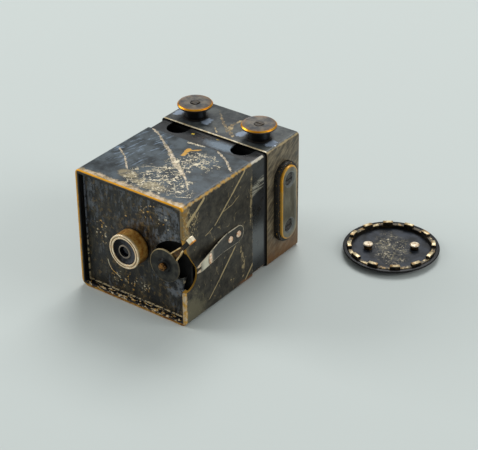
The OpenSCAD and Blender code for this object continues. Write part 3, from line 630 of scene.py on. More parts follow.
    lip = (f.step(abs(f.face_x), 0.5, 0.3) * f.step(f.x, HALF_W - RIM_W - 0.1, HALF_W - RIM_W + 0.1)
           * f.step(to_front, 0.45, 0.6) * (f.step(f.z, 11, 12) * f.step(f.z, 32, 31)))
    inner = f.step(depth, 0.45, 0.55) * f.most(f.step(to_front, 0.3, 0.45), f.step(depth, 0.9, 1.1))
    f.coat(inner, INK)
    chips = (f.step(f.noise(0.9, 3, 0.6, stretch=(1.6, 1, 1), shift=17), 0.54, 0.58)
             * (f.step(f.z, 1.7, 1.5) * f.step(f.z, 0.9, 1.1)) * f.step(abs(f.x), HALF_W - 1, HALF_W - 3))
    f.coat(chips, f.tones(grit, GOLD, CREAM, 0.45, 0.55))
    f.coat(lip, GOLD)
    bare = f.most(scratch * top, side_mask, line, lip)
    return f.done((f.noise(0.9, 5, 0.7, shift=4), 0.05, 0.8), Metallic=f.blend(bare, 0.1, 0.45),
                  Roughness=f.blend(f.step(coarse, 0.3, 0.7), 0.3, 0.5))


def plate_finish():
    """Black plate with blue-grey and brown patches, golden specks and pale beads."""
    f = Finish("plate_black", specular=0.35)
    blotch = f.noise(2.6, 6, 0.65, stretch=(0.7, 1, 1.5))
    fine = f.noise(1.0, 5, 0.65, shift=4)
    grit = f.noise(0.85, 3, 0.6, shift=3)
    f.color = f.tones(blotch, INK, srgb(62, 56, 42), 0.4, 0.66)
    blue = (f.step(f.noise(1.6, 5, 0.62, stretch=(0.6, 1, 2), shift=8), 0.48, 0.62)
            * f.step(f.noise(6, 3, shift=12) + (f.z - LENS_Z) * 0.006, 0.42, 0.6))
    f.coat(blue * 0.8, srgb(90, 95, 102))
    # Lighter blue-grey patches on the plate.
    blue_grey_patches = f.most(f.zone("xz", (14, 27), (6.5, 4.5), fine, 0.9),
                   f.zone("xz", (13, 35.5), (5, 3.5), fine, 1.4),
                   f.zone("xz", (15.5, 11.5), (4.5, 4), fine, 1.0),
                   f.zone("xz", (-16.5, 33), (2, 6), fine, 1.0))
    f.coat(blue_grey_patches * f.step(blotch, 0.4, 0.56) * 0.8, srgb(110, 115, 122))
    f.coat(f.step(fine, 0.53, 0.6) * 0.85, INK)
    brown = f.step(f.noise(1.4, 4, 0.6, shift=20), 0.56, 0.64) * 0.6
    f.coat(brown, srgb(104, 84, 48))
    spots = (((-2, 6.6), (9, 3.5)), ((-13, 21), (3, 6)), ((7, 34), (5, 3.5)), ((12, 32.5), (3, 3)))
    crowd = f.most(*[f.zone("xz", centre, radii, fine, 0.8) for centre, radii in spots])
    specks = f.step(grit, 0.61, 0.64) * f.step(crowd + blotch * 0.5, 0.55, 0.95)
    arc = f.trails("xz", [
        [(-11.1, 11.6, 0.25), (-10.6, 9.8, 0.3), (-9.4, 8.2, 0.4), (-6.2, 6.6, 0.25)],
        [(-3.2, 29.9, 0.5), (-2.6, 29.8, 0.3)], [(-12.9, 22.8, 0.5), (-12.7, 22.2, 0.4)]], 0.25)
    spark = f.most(specks, arc)
    f.coat(spark, f.tones(blotch, GOLD, CREAM, 0.45, 0.55))
    border = f.least(HALF_W - abs(f.x), LENS_Z - abs(f.z - LENS_Z))
    bead = f.step(abs(border - (RIM_W + 0.5)), 0.2, 0.1) * f.step(fine, 0.42, 0.55)
    # Painted shade: the plate is painted black along its border, where the rim shades it.
    f.coat(f.step(border, RIM_W + 0.9, RIM_W + 0.5), INK)
    low_bead = bead * f.step(f.z, LENS_Z, LENS_Z - 10)
    f.coat(bead * 0.6, srgb(120, 128, 140))
    f.coat(low_bead, TAN)
    return f.done((blotch * 1.2 + fine * 0.6, 0.16, 0.9), Metallic=f.blend(spark, 0.05, 0.5),
                  Roughness=f.blend(blotch, 0.28, 0.5))


def aged(name, dark, light, roughness, size, metallic=0.2, specular=0.4):
    """An aged metal between two tones."""
    f = Finish(name, metallic=metallic, specular=specular)
    tone = f.noise(size, 6, 0.6)
    f.color = f.tones(tone, dark, light, 0.36, 0.66)
    return f.done((f.noise(size * 0.25, 4, 0.6, shift=2), 0.025, 0.5),
                  Roughness=f.blend(tone, roughness - 0.08, roughness + 0.12))


def barrel_finish():
    """Brown brass with painted shade below, a painted highlight just behind the front, a pale ring round
    the front, and a dark groove in that ring.
    """
    f = Finish("brass_barrel", metallic=0.65, specular=0.6)
    tone = f.noise(1.3, 5, 0.65)
    f.color = f.tones(tone, srgb(206, 128, 44), srgb(255, 200, 108), 0.32, 0.66)
    # Painted shade: the lower part of the barrel is darker brown.
    f.coat(f.step(f.z - LENS_Z, 0.5, -4.0), srgb(120, 72, 26))
    # Painted highlight: pale cream on the side just behind the front.
    f.coat(f.step(f.y, LENS_TIP_Y + 1.0, LENS_TIP_Y + 0.3), srgb(255, 226, 168))
    radius = f.size(f.x, f.z - LENS_Z)
    ring = f.step(f.y, LENS_TIP_Y + 0.28, LENS_TIP_Y + 0.12)
    groove = f.step(abs(radius - (BARREL_R + BARREL_BORE) / 2), 0.26, 0.14)
    pale = f.tones(f.noise(1.3, 4, 0.6, shift=6), srgb(236, 200, 156), srgb(255, 236, 204), 0.35, 0.65)
    f.coat(ring, f.mix(groove * 0.8, pale, srgb(96, 66, 40)))
    f.coat(f.step(f.y, LENS_TIP_Y + 3.9, LENS_TIP_Y + 4.9), INK)
    return f.done((tone, 0.02, 0.5), Roughness=f.blend(tone, 0.26, 0.42))


def stop_finish():
    """Grey dish with painted light that makes it lighter towards the right, and a painted highlight on the
    lip round the hole.
    """
    f = Finish("stop_grey", metallic=0.1, specular=0.08, roughness=0.5)
    radius = f.size(f.x, f.z - LENS_Z)
    # Painted light: the dish gets lighter towards the right.
    tone = f.x * 0.09 + f.noise(1.5, 4, 0.6)
    f.color = f.tones(tone, srgb(12, 11, 11), srgb(78, 80, 86), 0.2, 0.95)
    # Painted highlight: a pale ring on the lip round the hole.
    lip = f.step(abs(radius - (STOP_R + 0.3)), 0.3, 0.15)
    f.coat(lip * 0.85, srgb(150, 138, 122))
    f.coat(f.step(radius, BARREL_BORE - 0.5, BARREL_BORE - 0.1), srgb(36, 32, 32))
    return f.done()


def hub_finish():
    """Dark disc with a tan rim that is brightest at its upper left as a painted highlight, and a black
    boss.
    """
    f = Finish("hub_black", metallic=0.1, specular=0.3, roughness=0.36)
    u = f.x - PIVOT.x
    v = f.z - PIVOT.z
    radius = f.size(u, v)
    tone = f.noise(1.6, 5, 0.6)
    f.color = f.tones(tone, srgb(26, 25, 22), srgb(60, 58, 50), 0.36, 0.66)
    # Painted highlight: the rim is brightest at its upper left.
    lit = f.step(v - u, -1.0, 4.0)
    f.coat(f.step(radius, HUB_R - 0.32, HUB_R - 0.14) * (lit * 0.8 + 0.1), TAN)
    f.coat(f.step(radius, 3.7, 2.3), srgb(6, 6, 6))
    return f.done((tone, 0.02, 0.6))


def lever_finish():
    """Brown strip between pale rails, with a dark neck."""
    f = Finish("lever_brass", metallic=0.45, specular=0.5, roughness=0.32)
    along, aside = lever_axes(f)
    half = 1.7 - (along - 4.2) * (1 / 7)
    rail = f.step(half - abs(aside), 0.42, 0.34) * f.step(along, 11.3, 11.0)
    tone = f.noise(0.9, 4, 0.6)
    f.color = f.tones(tone, srgb(54, 36, 16), srgb(120, 86, 42), 0.38, 0.64)
    f.coat(f.step(along, 11.0, 11.8), srgb(30, 24, 18))
    f.coat(rail, f.tones(tone, srgb(232, 182, 100), srgb(255, 232, 184)))
    return f.done()


# Where the leaf's painted grey sheen is, and where its pale prongs begin
SHEEN_Y = -9.0
PRONG_Y = -12.2


def leaf_finish():
    """Black spring with thin bright edges, a painted grey sheen near the boss and pale prongs."""
    f = Finish("leaf_black", metallic=0.2, specular=0.45)
    past = f.most(f.y - (LEAF_END_Y - LEAF_HALF), 0.0)
    half = LEAF_HALF - f.most(LEAF_Y - f.y, 0.0) * LEAF_TAPER
    inside = half - f.size(past, f.z - LEAF_Z)
    tone = f.noise(1.6, 5, 0.6)
    f.color = f.tones(tone, srgb(30, 29, 25), srgb(62, 59, 51), 0.36, 0.66)
    # Painted sheen: pale grey near the boss.
    sheen = f.step(abs(f.y - SHEEN_Y), 5.0, 1.0)
    f.coat(sheen * 0.9, srgb(222, 216, 192))
    edge = f.step(inside, 0.26, 0.12) * f.step(f.noise(2.2, 4, 0.6, shift=5), 0.34, 0.5)
    f.coat(edge, srgb(206, 194, 168))
    prong = f.step(f.y, PRONG_Y, PRONG_Y - 1) * f.step(tone, 0.32, 0.5)
    f.coat(prong, CREAM_PINK)
    rings = f.most(f.zone("yz", (LEAF_RIVETS_Y[0], LEAF_Z), (1.6, 1.6)),
                   f.zone("yz", (LEAF_RIVETS_Y[1], LEAF_Z), (1.6, 1.6)),
                   f.zone("yz", (BUTTON_Y, LEAF_Z), (1.5, 2.4)))
    f.coat(rings, INK)
    return f.done((tone, 0.02, 0.5), Roughness=f.blend(tone, 0.3, 0.42))


def copper_finish():
    f = Finish("copper_heads", metallic=0.25, specular=0.5, roughness=0.35)
    tone = f.noise(0.7, 4, 0.6)
    f.color = f.tones(tone, srgb(255, 232, 204), srgb(226, 172, 128), 0.4, 0.62)
    f.coat(f.step(f.noise(0.5, 3, 0.6, shift=4), 0.6, 0.66), srgb(110, 74, 44))
    return f.done((tone, 0.04, 0.6))


def tab_finish():
    """Cream tab with a golden lower edge."""
    f = Finish("tab_brass", metallic=0.4, specular=0.5, roughness=0.3)
    _, aside = lever_axes(f)
    f.color = f.tones(aside, srgb(255, 240, 210), srgb(226, 144, 30), -0.35, -0.75)
    return f.done()


def sleeve_finish():
    """Smooth dark sleeve with a painted highlight on its top right edge and a painted reflection along its
    right side, black in front of the film back with painted shadow and dirt.
    """
    f = Finish("sleeve_skin", specular=0.42)
    to_top = BODY_H - CASE_WALL - f.z
    to_right = HALF_W - CASE_WALL - f.x
    top = f.step(to_top, 0.5, 0.3)
    tone = f.noise(5, 4, 0.5)
    fine = f.noise(1.2, 5, 0.65, shift=4)
    f.color = f.tones(tone, srgb(13, 13, 13), srgb(36, 38, 40), 0.35, 0.65)
    light = f.zone("xy", (6, 20.8), (9, 3.2), fine, 0.8, 0.7) * top
    f.coat(light, srgb(108, 122, 134))
    specks = f.trails("xy", [[(-6.6, 22.1, 1.1), (-5.6, 22.2, 0.5)],
                             [(2, 23.6, 0.8), (3.2, 23.9, 0.4)]], 0.7) * top
    f.coat(specks, srgb(196, 168, 60))
    # Painted highlight along the rounded top right edge.
    edge = f.most(to_top, to_right) + (fine - 0.5) * 0.7
    edge_highlight = f.step(edge, 0.75, 0.35) * f.step(f.x, 0, 5)
    f.coat(edge_highlight, srgb(208, 200, 182))
    right = f.step(to_right, 0.5, 0.3)
    # Painted reflection: a pale stripe along the right side.
    reflection_band = (f.step(abs(f.z - (31.5 + (f.y - 21) * 0.25)), 2.4, 1.4)
            * f.step(f.noise(1.0, 3, 0.6, stretch=(1, 5, 0.5), shift=7), 0.42, 0.58) * right)
    f.coat(reflection_band * 0.85, srgb(156, 152, 136))
    low_light = f.step(abs(f.z - 12), 9, 2) * right
    f.coat(low_light * 0.7, srgb(96, 100, 100))
    low = f.step(f.most(to_right, f.z - CASE_WALL), 0.9, 0.4)
    f.coat(low, srgb(140, 100, 50))
    # Painted shadow of the film back with some dirt: the sleeve is black just in front of it, and rougher
    # there.
    shadow_and_grime = f.step(back_low.y - f.y + (fine - 0.5) * 0.4, 1.25, 0.8)
    f.coat(shadow_and_grime, INK)
    return f.done((fine, 0.01, 0.4), Roughness=f.blend(shadow_and_grime, f.blend(tone, 0.22, 0.34), 0.7))


def back_finish():
    """Brown brushed metal, slate on top, with worn edges, painted highlights beside the knobs, painted
    shade under the knobs and on its front face.
    """
    f = Finish("back_skin", specular=0.4)
    to_right, to_left, to_top, to_front, to_rear = sides(f, back_low.y, back_high.y)
    top = f.step(to_top, 0.5, 0.3)
    coarse = f.noise(5, 5, 0.6)
    fine = f.noise(1.2, 5, 0.65, shift=4)
    ragged = f.noise(1.8, 5, 0.65, shift=2)
    slant = f.combine(f.x, f.y + f.z * 0.75, f.z - f.y * 0.75)
    brushed = f.noise(1.2, 5, 0.6, place=slant, stretch=(1, 3.5, 1.1))
    side = f.tones(brushed, srgb(52, 44, 33), srgb(138, 124, 98), 0.3, 0.74)
    side = f.mix(f.step(coarse, 0.5, 0.66) * 0.5, side, srgb(62, 66, 68))
    side = f.mix(f.step(f.z + ragged * 14, 21, 6) * 0.85, side, srgb(112, 74, 30))
    slate = f.tones(coarse, srgb(40, 45, 48), srgb(84, 88, 86), 0.38, 0.64)
    slate = f.mix(f.step(brushed, 0.5, 0.7) * 0.4, slate, srgb(96, 98, 92))
    f.color = f.mix(top, side, slate)
    scratch = f.trails("xy", [[(-8, 38.5, 0.4), (-3, 33.5, 0.9), (0.5, 30.5, 1.1), (2.6, 28.2, 0.5)],
                              [(1.5, 37.2, 0.6), (0.8, 33, 1.6), (2.5, 29.5, 2.0), (6, 27, 0.7)],
                              [(-3, 29, 0.5), (0, 26.5, 0.4)]], 1.8, 0.8)
    f.coat(scratch * top * f.step(fine, 0.4, 0.55), f.tones(ragged, TAN_DARK, TAN, 0.42, 0.6))
    # Painted highlights: pale blue-white patches on the top beside the knobs, which are also glossier
    # there.
    gloss_and_highlight = f.most(*[f.zone("xy", (side_x + dx, KNOB_Y - 1.0), (1.7, 2.6), fine, 2.2)
                     for side_x in (-KNOB_X, KNOB_X) for dx in (-5.6, 5.4)])
    f.coat(gloss_and_highlight * top, srgb(158, 172, 190))
    knobs = f.least(f.size(f.x + KNOB_X, f.y - KNOB_Y), f.size(f.x - KNOB_X, f.y - KNOB_Y))
    shade = f.step(knobs, 5.2, 3.8)
    f.coat(shade * top, INK)

    def wear(distance, width, amount):
        return f.step(distance + (ragged - 0.5) * amount, width, width * 0.5)

    f.coat(wear(f.most(to_top, to_front), 0.75, 0.8), f.tones(fine, TAN, CREAM))
    f.coat(wear(f.most(to_top, to_right), 0.7, 1.0) * 0.8, TAN)
    f.coat(wear(f.most(to_top, to_left), 0.4, 0.8) * 0.6, TAN_DARK)
    f.coat(wear(f.most(to_right, to_front), 0.6, 1.0) * 0.5, TAN_DARK)
    f.coat(wear(f.most(to_right, to_rear), 0.6, 1.0) * 0.7, srgb(128, 96, 48))
    f.coat(wear(f.most(f.z, to_right), 0.9, 1.4) * 0.9, ORANGE_BROWN)
    depth = f.least(to_top, to_right, to_left, f.z)
    # Painted shade: the front face of the wall is black.
    f.coat(f.step(to_front, 0.12, 0.03) * f.step(depth, 0.08, 0.14), INK)
    f.coat(f.step(depth, 0.35, 0.42) * f.step(to_rear, 0.55, 0.7), INK)
    return f.done((fine * 0.6 + brushed, 0.03, 0.6), Metallic=0.2,
                  Roughness=f.blend(gloss_and_highlight * top, f.blend(coarse, 0.3, 0.5), 0.2))


def knob_finish(name, x):
    """Slate knob with a bright orange bevel, black below."""
    f = Finish(name, metallic=0.15, specular=0.45)
    radius = f.size(f.x - x, f.y - KNOB_Y)
    coarse = f.noise(2.6, 5, 0.6, shift=x)
    f.color = f.tones(coarse, srgb(52, 53, 55), srgb(112, 104, 92), 0.36, 0.66)
    f.coat(f.step(radius, 3.6, 5.2) * f.step(coarse, 0.3, 0.6) * 0.6, srgb(118, 82, 38))
    f.coat(f.step(radius, 2.0, 1.2), srgb(44, 40, 38))
    ring = f.step(radius, 5.2, 5.36) * f.step(f.z, KNOB_TOP - 0.5, KNOB_TOP - 0.36)
    f.coat(ring, f.tones(coarse, srgb(214, 134, 8), srgb(226, 164, 40), 0.4, 0.65))
    f.coat(f.step(f.z, KNOB_TOP - 0.5, KNOB_TOP - 0.8), INK)
    return f.done((f.noise(0.7, 4, 0.6, shift=2), 0.015, 0.5), Metallic=f.blend(ring, 0.15, 0.8),
                  Roughness=0.34)


def grip_plate_finish():
    """Smooth grey bronze with golden edges and pale countersinks."""
    f = Finish("grip_bronze", metallic=0.3, specular=0.5)
    v = f.z - LENS_Z
    u = f.y - GRIP_Y
    inside = GRIP_W / 2 - f.size(u, f.most(abs(v) - GRIP_STRAIGHT, 0.0))
    hole = f.size(u, abs(v) - GRIP_SCREW_Z)
    tone = f.noise(3, 5, 0.6, stretch=(1, 1, 2.5))
    f.color = f.tones(tone, srgb(92, 88, 74), srgb(136, 132, 114), 0.34, 0.68)
    sink = f.step(hole, 3.0, 2.5) * f.step(hole, 1.7, 1.9)
    f.coat(sink, srgb(118, 120, 116))
    edge = f.step(inside + (f.noise(1.5, 4, 0.6, shift=3) - 0.5) * 0.5, 0.62, 0.36)
    # Painted light: the golden edge is brighter on its lit side.
    lit = f.step(v - u * 3, -14, 4)
    f.coat(edge * f.blend(lit, 0.4, 1.0), f.tones(tone, ORANGE_GOLD, GOLD))
    return f.done((f.noise(0.8, 4, 0.6, shift=2), 0.01, 0.5), Roughness=f.blend(tone, 0.28, 0.4))


def grip_base_finish():
    f = Finish("grip_black", metallic=0.1, specular=0.4, roughness=0.45)
    tone = f.noise(1.4, 5, 0.6)
    f.color = f.tones(tone, INK, srgb(40, 35, 27), 0.36, 0.66)
    # Painted glints: gold specks on the knurled side of the base.
    specks = (f.step(f.noise(0.5, 3, 0.6, shift=5), 0.64, 0.68)
              * f.step(abs(f.x), HALF_W + 0.5, HALF_W + 1.0))
    f.coat(specks, GOLD)
    return f.done((tone, 0.05, 0.6))


def cap_floor_finish():
    """Glossy black flange round a slate floor with worn cream patches."""
    f = Finish("cap_slate", metallic=0.1, specular=0.16)
    radius = f.size(f.x - CAP.x, f.y - CAP.y)
    coarse = f.noise(4, 5, 0.6)
    fine = f.noise(0.9, 4, 0.65, shift=4)
    f.color = f.tones(coarse, srgb(26, 29, 33), srgb(54, 59, 68), 0.36, 0.66)
    ring = f.zone("xy", CAP.xy, (7.0, 12.0), coarse, 0.8, 0.5, math.radians(STUD_AXIS))
    worn = ring * f.step(coarse + fine * 0.6, 0.72, 0.9)
    f.coat(worn * 0.55, srgb(88, 84, 70))
    flecks = (f.most(f.squiggles(1.1, 0.07, 0.46, 12), f.step(fine, 0.57, 0.63)) * ring
              * f.step(f.noise(3, 4, 0.6, shift=9), 0.4, 0.58))
    f.coat(flecks * 0.58, f.tones(fine, CREAM, srgb(132, 124, 98)))
    f.coat(f.step(radius, 11.6, 12.8), srgb(26, 26, 27))
    return f.done((fine, 0.03, 0.6), Metallic=f.blend(flecks, 0.05, 0.4),
                  Roughness=f.blend(f.step(radius, 12.8, 13.4), 0.42, 0.3))


def collar_finish():
    """Black collar whose tooth tops and the rim between them are worn to pale brass."""
    f = Finish("collar_brass", metallic=0.35, specular=0.5, roughness=0.32)
    tone = f.noise(1.2, 5, 0.6)
    f.color = f.tones(tone, INK, srgb(66, 54, 34), 0.4, 0.7)
    worn = f.step(f.face_z + (tone - 0.5) * 0.5, 0.35, 0.6) * f.step(f.z, 1.9, 2.1)
    valley = f.step(f.z, 2.9, 2.6) * f.step(f.noise(2.4, 4, 0.6, shift=7), 0.6, 0.48)
    worn = worn * (1.0 - valley * 0.9)
    f.coat(worn, f.tones(f.noise(2, 4, 0.6, shift=3), srgb(214, 196, 154), srgb(148, 116, 66)))
    return f.done()


def cap_stud_finish():
    f = Finish("cap_stud_brass", metallic=0.4, specular=0.5, roughness=0.3)
    tone = f.noise(0.8, 4, 0.6)
    top = f.step(f.z, 2.5, 2.75)
    f.color = f.tones(tone, INK, srgb(120, 88, 34), 0.4, 0.7)
    f.coat(top, f.tones(tone, srgb(232, 218, 192), srgb(176, 148, 116), 0.4, 0.62))
    return f.done((tone, 0.03, 0.6))


def wood_finish():
    f = Finish("spool_wood", roughness=0.55)
    grain = f.noise(1.2, 5, 0.6, stretch=(1, 1, 9))
    f.color = f.tones(grain, srgb(74, 54, 34), srgb(128, 98, 62), 0.35, 0.65)
    return f.done((grain, 0.03, 0.5))


def film_finish():
    f = Finish("film_base", roughness=0.22)
    f.color = f.mix(f.noise(5, 4, 0.5), srgb(64, 50, 34), srgb(92, 76, 54))
    return f.done(Coat_Weight=0.4)


def glass_finish():
    """Old blue-black glass that lets a little light through."""
    f = Finish("lens_glass", roughness=0.06, specular=0.15)
    f.color = f.mix(f.noise(2, 3, 0.5), srgb(4, 7, 17), srgb(11, 16, 31))
    return f.done(Transmission_Weight=0.35, IOR=1.52)


CASE_SKIN = case_finish()
PLATE_BLACK = plate_finish()
BACK_SKIN = back_finish()
SLEEVE_SKIN = sleeve_finish()
BRASS_BARREL = barrel_finish()
STOP_GREY = stop_finish()
HUB_BLACK = hub_finish()
LEVER_BRASS = lever_finish()
TAB_BRASS = tab_finish()
LEAF_BLACK = leaf_finish()
COPPER = copper_finish()
GRIP_BRONZE = grip_plate_finish()
GRIP_BLACK = grip_base_finish()
CAP_SLATE = cap_floor_finish()
COLLAR_BRASS = collar_finish()
CAP_STUD_BRASS = cap_stud_finish()
SPOOL_WOOD = wood_finish()
FILM_BASE = film_finish()
LENS_GLASS = glass_finish()
BRASS_STUD = aged("brass_stud", srgb(58, 36, 14), srgb(150, 104, 50), 0.24, 0.7, 0.7)
BRASS_PLAIN = aged("brass_plain", srgb(88, 66, 34), srgb(186, 146, 82), 0.34, 2.0, 0.7)
SPINDLE_DARK = aged("spindle_dark", srgb(34, 30, 27), srgb(76, 66, 52), 0.36, 0.8)
WASHER_DARK = aged("washer_dark", srgb(16, 15, 14), srgb(44, 38, 30), 0.45, 1.0)
SCREW_DARK = aged("screw_dark", srgb(22, 21, 20), srgb(78, 74, 68), 0.34, 0.8)
SPRING_STEEL = aged("spring_steel", srgb(74, 76, 78), srgb(132, 134, 136), 0.3, 1.5, 0.8)
INSIDE_BLACK = aged("inside_black", srgb(10, 10, 11), srgb(26, 26, 26), 0.7, 3, 0.0, 0.15)


# Case

def box_tube(name, section, radii):
    """A square tube: the closed section is (inset, y), swept round the body's outline."""
    rings = []
    for inset, y in section:
        rings.append([Vector((p.x, y, p.y)) for p in box_outline(BODY_W, BODY_H, radii, inset)])
    return loft(name, rings, loop=True)


def prism_x(name, outline, x0, x1):
    """An outline in Y and Z extruded along X."""
    return loft(name, [[Vector((x, p[0], p[1])) for p in outline] for x in (x0, x1)])


def prism_y(name, outline, y0, y1):
    """An outline in X and Z extruded along Y."""
    return loft(name, [[Vector((p[0], y, p[1])) for p in outline] for y in (y0, y1)])


# Side notch: (depth from the rim, height over NOTCH_Z, radius of the corner)
NOTCH_Z = PIVOT.z - 2.7
NOTCH = [(-1, 15.75, 0), (0.8, 13.5, 2), (1.5, 9.3, 3), (6.0, 1.7, 3), (6.1, -4.4, 4.35), (-1, -4.4, 0)]


def make_case():
    front, rear = case_low.y, case_high.y
    section = rounded([(0, front, 0.4), (0, rear, 0.15), (CASE_WALL, rear, 0.1), (CASE_WALL, PLATE_Y, 0),
                       (RIM_W, PLATE_Y, 0), (RIM_W, front, 0.25)], 4)
    shell = box_tube("case_shell", section, CORNER_RADII)
    outline = [(front + y, NOTCH_Z + z, r) for y, z, r in NOTCH]
    cut(shell, [prism_x("notch", rounded(outline, 8), HALF_W - RIM_W - 1, HALF_W + 1)])
    dress(shell, CASE_SKIN, "case", ["front_case"], 30)


# Opening behind the lever, from the pivot
OPENING_R = 11.3
OPENING_AT = (4.5, -2.6)
OPENING = [(-4.4, 1.2), (0, -1.2), (3.9, -4.2), (6.6, -2.6), (5.3, -6.35), (4.9, -7.6), (7.7, -7.6),
           (7.7, 12), (-4.4, 12)]
# Metal that is left round the spindle
BRIDGE_R = SPINDLE_R + 1.2
BRIDGE_REACH = SPINDLE_R + 2.4
BRIDGE_ANGLES = (190, 250)


def make_plate():
    outline = box_outline(BODY_W, BODY_H, CORNER_RADII, CASE_WALL + 0.02)
    plate = prism_y("plate", outline, plate_low.y, plate_high.y)
    circle = [(PIVOT.x + OPENING_AT[0] + OPENING_R * math.cos(a * math.pi / 48),
               PIVOT.z + OPENING_AT[1] + OPENING_R * math.sin(a * math.pi / 48)) for a in range(96)]
    hole = prism_y("hole", [(PIVOT.x + x, PIVOT.z + z) for x, z in OPENING], plate_low.y - 1,
                   plate_high.y + 1)
    cut(hole, [prism_y("round_hole", circle, plate_low.y - 2, plate_high.y + 2)], "INTERSECT")
    wedge = [(0, 0)] + [(BRIDGE_REACH * math.cos(math.radians(a)), BRIDGE_REACH * math.sin(math.radians(a)))
                        for a in range(BRIDGE_ANGLES[0], BRIDGE_ANGLES[1] + 1, 6)]
    wedge = prism_y("wedge", [(PIVOT.x + x, PIVOT.z + z) for x, z in wedge], plate_low.y - 2,
                    plate_high.y + 2)
    cut(hole, [rod(BRIDGE_R, REAR, (PIVOT.x, plate_low.y - 2, PIVOT.z), 5), wedge])
    spindle = rod(SPINDLE_R + 0.1, REAR, (PIVOT.x, plate_low.y - 1, PIVOT.z), 4)
    cut(plate, [hole, spindle, rod(SPIGOT_R, REAR, (0, plate_low.y - 1, LENS_Z), 4)])
    bead = rounded([(RIM_W + 0.02, PLATE_Y + 0.1, 0), (RIM_W + 0.02, PLATE_Y - 0.4, 0.1),
                    (RIM_W + 0.45, PLATE_Y - 0.4, 0.2), (RIM_W + 0.6, PLATE_Y + 0.1, 0)], 4)
    frame_bead = box_tube("bead", bead, CORNER_RADII)
    cut(frame_bead, [prism_y("gap", [(HALF_W - 3, NOTCH_Z - 6), (HALF_W, NOTCH_Z - 6),
                                     (HALF_W, NOTCH_Z + 17), (HALF_W - 3, NOTCH_Z + 17)], PLATE_Y - 2,
                             PLATE_Y + 2)])
    sheet = join("plate_sheet", [plate, frame_bead])
    dress(sheet, PLATE_BLACK, "case", ["front_plate"])


def make_lens():
    tip = LENS_TIP_Y
    back = node_box("lens_barrel")[1].y
    middle = (BARREL_R + BARREL_BORE) / 2
    tube = rounded([(BARREL_BORE, tip - back, 0), (SPIGOT_R, tip - back, 0), (SPIGOT_R, tip - PLATE_Y, 0),
                    (BARREL_R, tip - PLATE_Y, 0), (BARREL_R, 0, 0.18), (middle + 0.2, 0, 0.1),
                    (middle + 0.1, -0.18, 0.04), (middle - 0.1, -0.18, 0.04), (middle - 0.2, 0, 0.1),
                    (BARREL_BORE, 0, 0.12)], 4)
    barrel = lathe("barrel_tube", tube, FRONT, (0, tip, LENS_Z), 128)
    dress(barrel, BRASS_BARREL, "case", ["lens_barrel"])
    stop_y = node_box("lens_stop")[0].y
    dish = rounded([(STOP_R, -0.7, 0), (BARREL_BORE, -0.7, 0), (BARREL_BORE, -0.12, 0), (3.0, -0.3, 0),
                    (2.25, -0.28, 0), (2.15, 0, 0.08), (STOP_R, 0, 0.1)], 3)
    dress(lathe("stop_dish", dish, FRONT, (0, stop_y, LENS_Z), 96), STOP_GREY, "case", ["lens_stop"])


def make_hub():
    low, high = node_box("shutter_hub")
    tall = high.y - low.y
    disc = rounded([(SPINDLE_R, 0, 0), (HUB_R, 0, 0), (HUB_R, 0.5, 0.14), (4.9, 0.44, 0.2),
                    (2.3, 0.4, 0.15), (2.05, tall, 0.15), (SPINDLE_R, tall, 0)], 4)
    dress(lathe("hub_disc", disc, FRONT, (PIVOT.x, high.y, PIVOT.z), 96), HUB_BLACK, "shutter",
          ["shutter_hub"])
    low, high = node_box("shutter_spindle")
    long = high.y - low.y
    stud = [(0, 0), (SPINDLE_R, 0), (SPINDLE_R, long - 1.2), (1.2, long - 1.15), (1.3, long - 0.85),
            (1.27, long - 0.5), (1.08, long - 0.2), (0.7, long - 0.05), (0, long)]
    head = lathe("stud_head", stud, FRONT, (PIVOT.x, high.y, PIVOT.z), 64)
    dress(head, BRASS_STUD, "shutter", ["shutter_spindle"])


# Lever: stations as (reach, half width, lift to the front, whether it has rails)
LEVER = [(4.1, 1.7, 0, 0), (5.5, 1.5, 0, 0), (5.6, 1.49, 0, 1), (8.9, 1.03, 0, 1), (9.6, 0.93, 0.45, 1),
         (11.1, 0.72, 0.45, 1), (11.6, 0.7, 0.45, 0), (15.7, 0.7, 0.45, 0)]
RAIL_W = 0.34
RAIL_H = 0.5
LEVER_T = 0.4
TAB_HALF = 0.95
TAB_NEAR = 15.65
TAB_FAR = 17.75


def make_lever():
    low, high = node_box("shutter_lever")
    along = Vector((math.cos(LEVER_ANGLE), 0, math.sin(LEVER_ANGLE)))
    aside = Vector((-math.sin(LEVER_ANGLE), 0, math.cos(LEVER_ANGLE)))
    rings = []
    for reach, half, lift, rail in LEVER:
        rise = RAIL_H if rail else 0.02
        section = [(-half, 0), (half, 0), (half, LEVER_T + rise), (half - RAIL_W, LEVER_T + rise),
                   (half - RAIL_W - 0.06, LEVER_T), (-half + RAIL_W + 0.06, LEVER_T),
                   (-half + RAIL_W, LEVER_T + rise), (-half, LEVER_T + rise)]
        base = Vector((PIVOT.x, high.y - lift, PIVOT.z)) + along * reach
        rings.append([base + aside * s + Vector(FRONT) * h for s, h in section])
    strip = loft("lever_strip", rings)
    ease(strip, 0.06)
    dress(strip, LEVER_BRASS, "shutter", ["shutter_lever"])
    low, high = node_box("lever_tab")
    corners = [(TAB_NEAR, -TAB_HALF), (TAB_FAR, -TAB_HALF), (TAB_FAR, TAB_HALF), (TAB_NEAR, TAB_HALF)]
    ends = [[Vector((PIVOT.x, y, PIVOT.z)) + along * r + aside * s for r, s in corners]
            for y in (high.y, low.y)]
    tab = loft("lever_finger", ends)
    ease(tab, 0.2, segments=3)
    dress(tab, TAB_BRASS, "shutter", ["lever_tab"])


make_case()
make_plate()
make_lens()
make_hub()
make_lever()


# Leaf spring: one strip

LEAF_T = 0.35
LEAF_RISE = 2.8
LEAF_KINK = 0.45
LEAF_TIP_Y = node_box("leaf_blade")[0].y
FORK_Y = LEAF_TIP_Y + 2.6


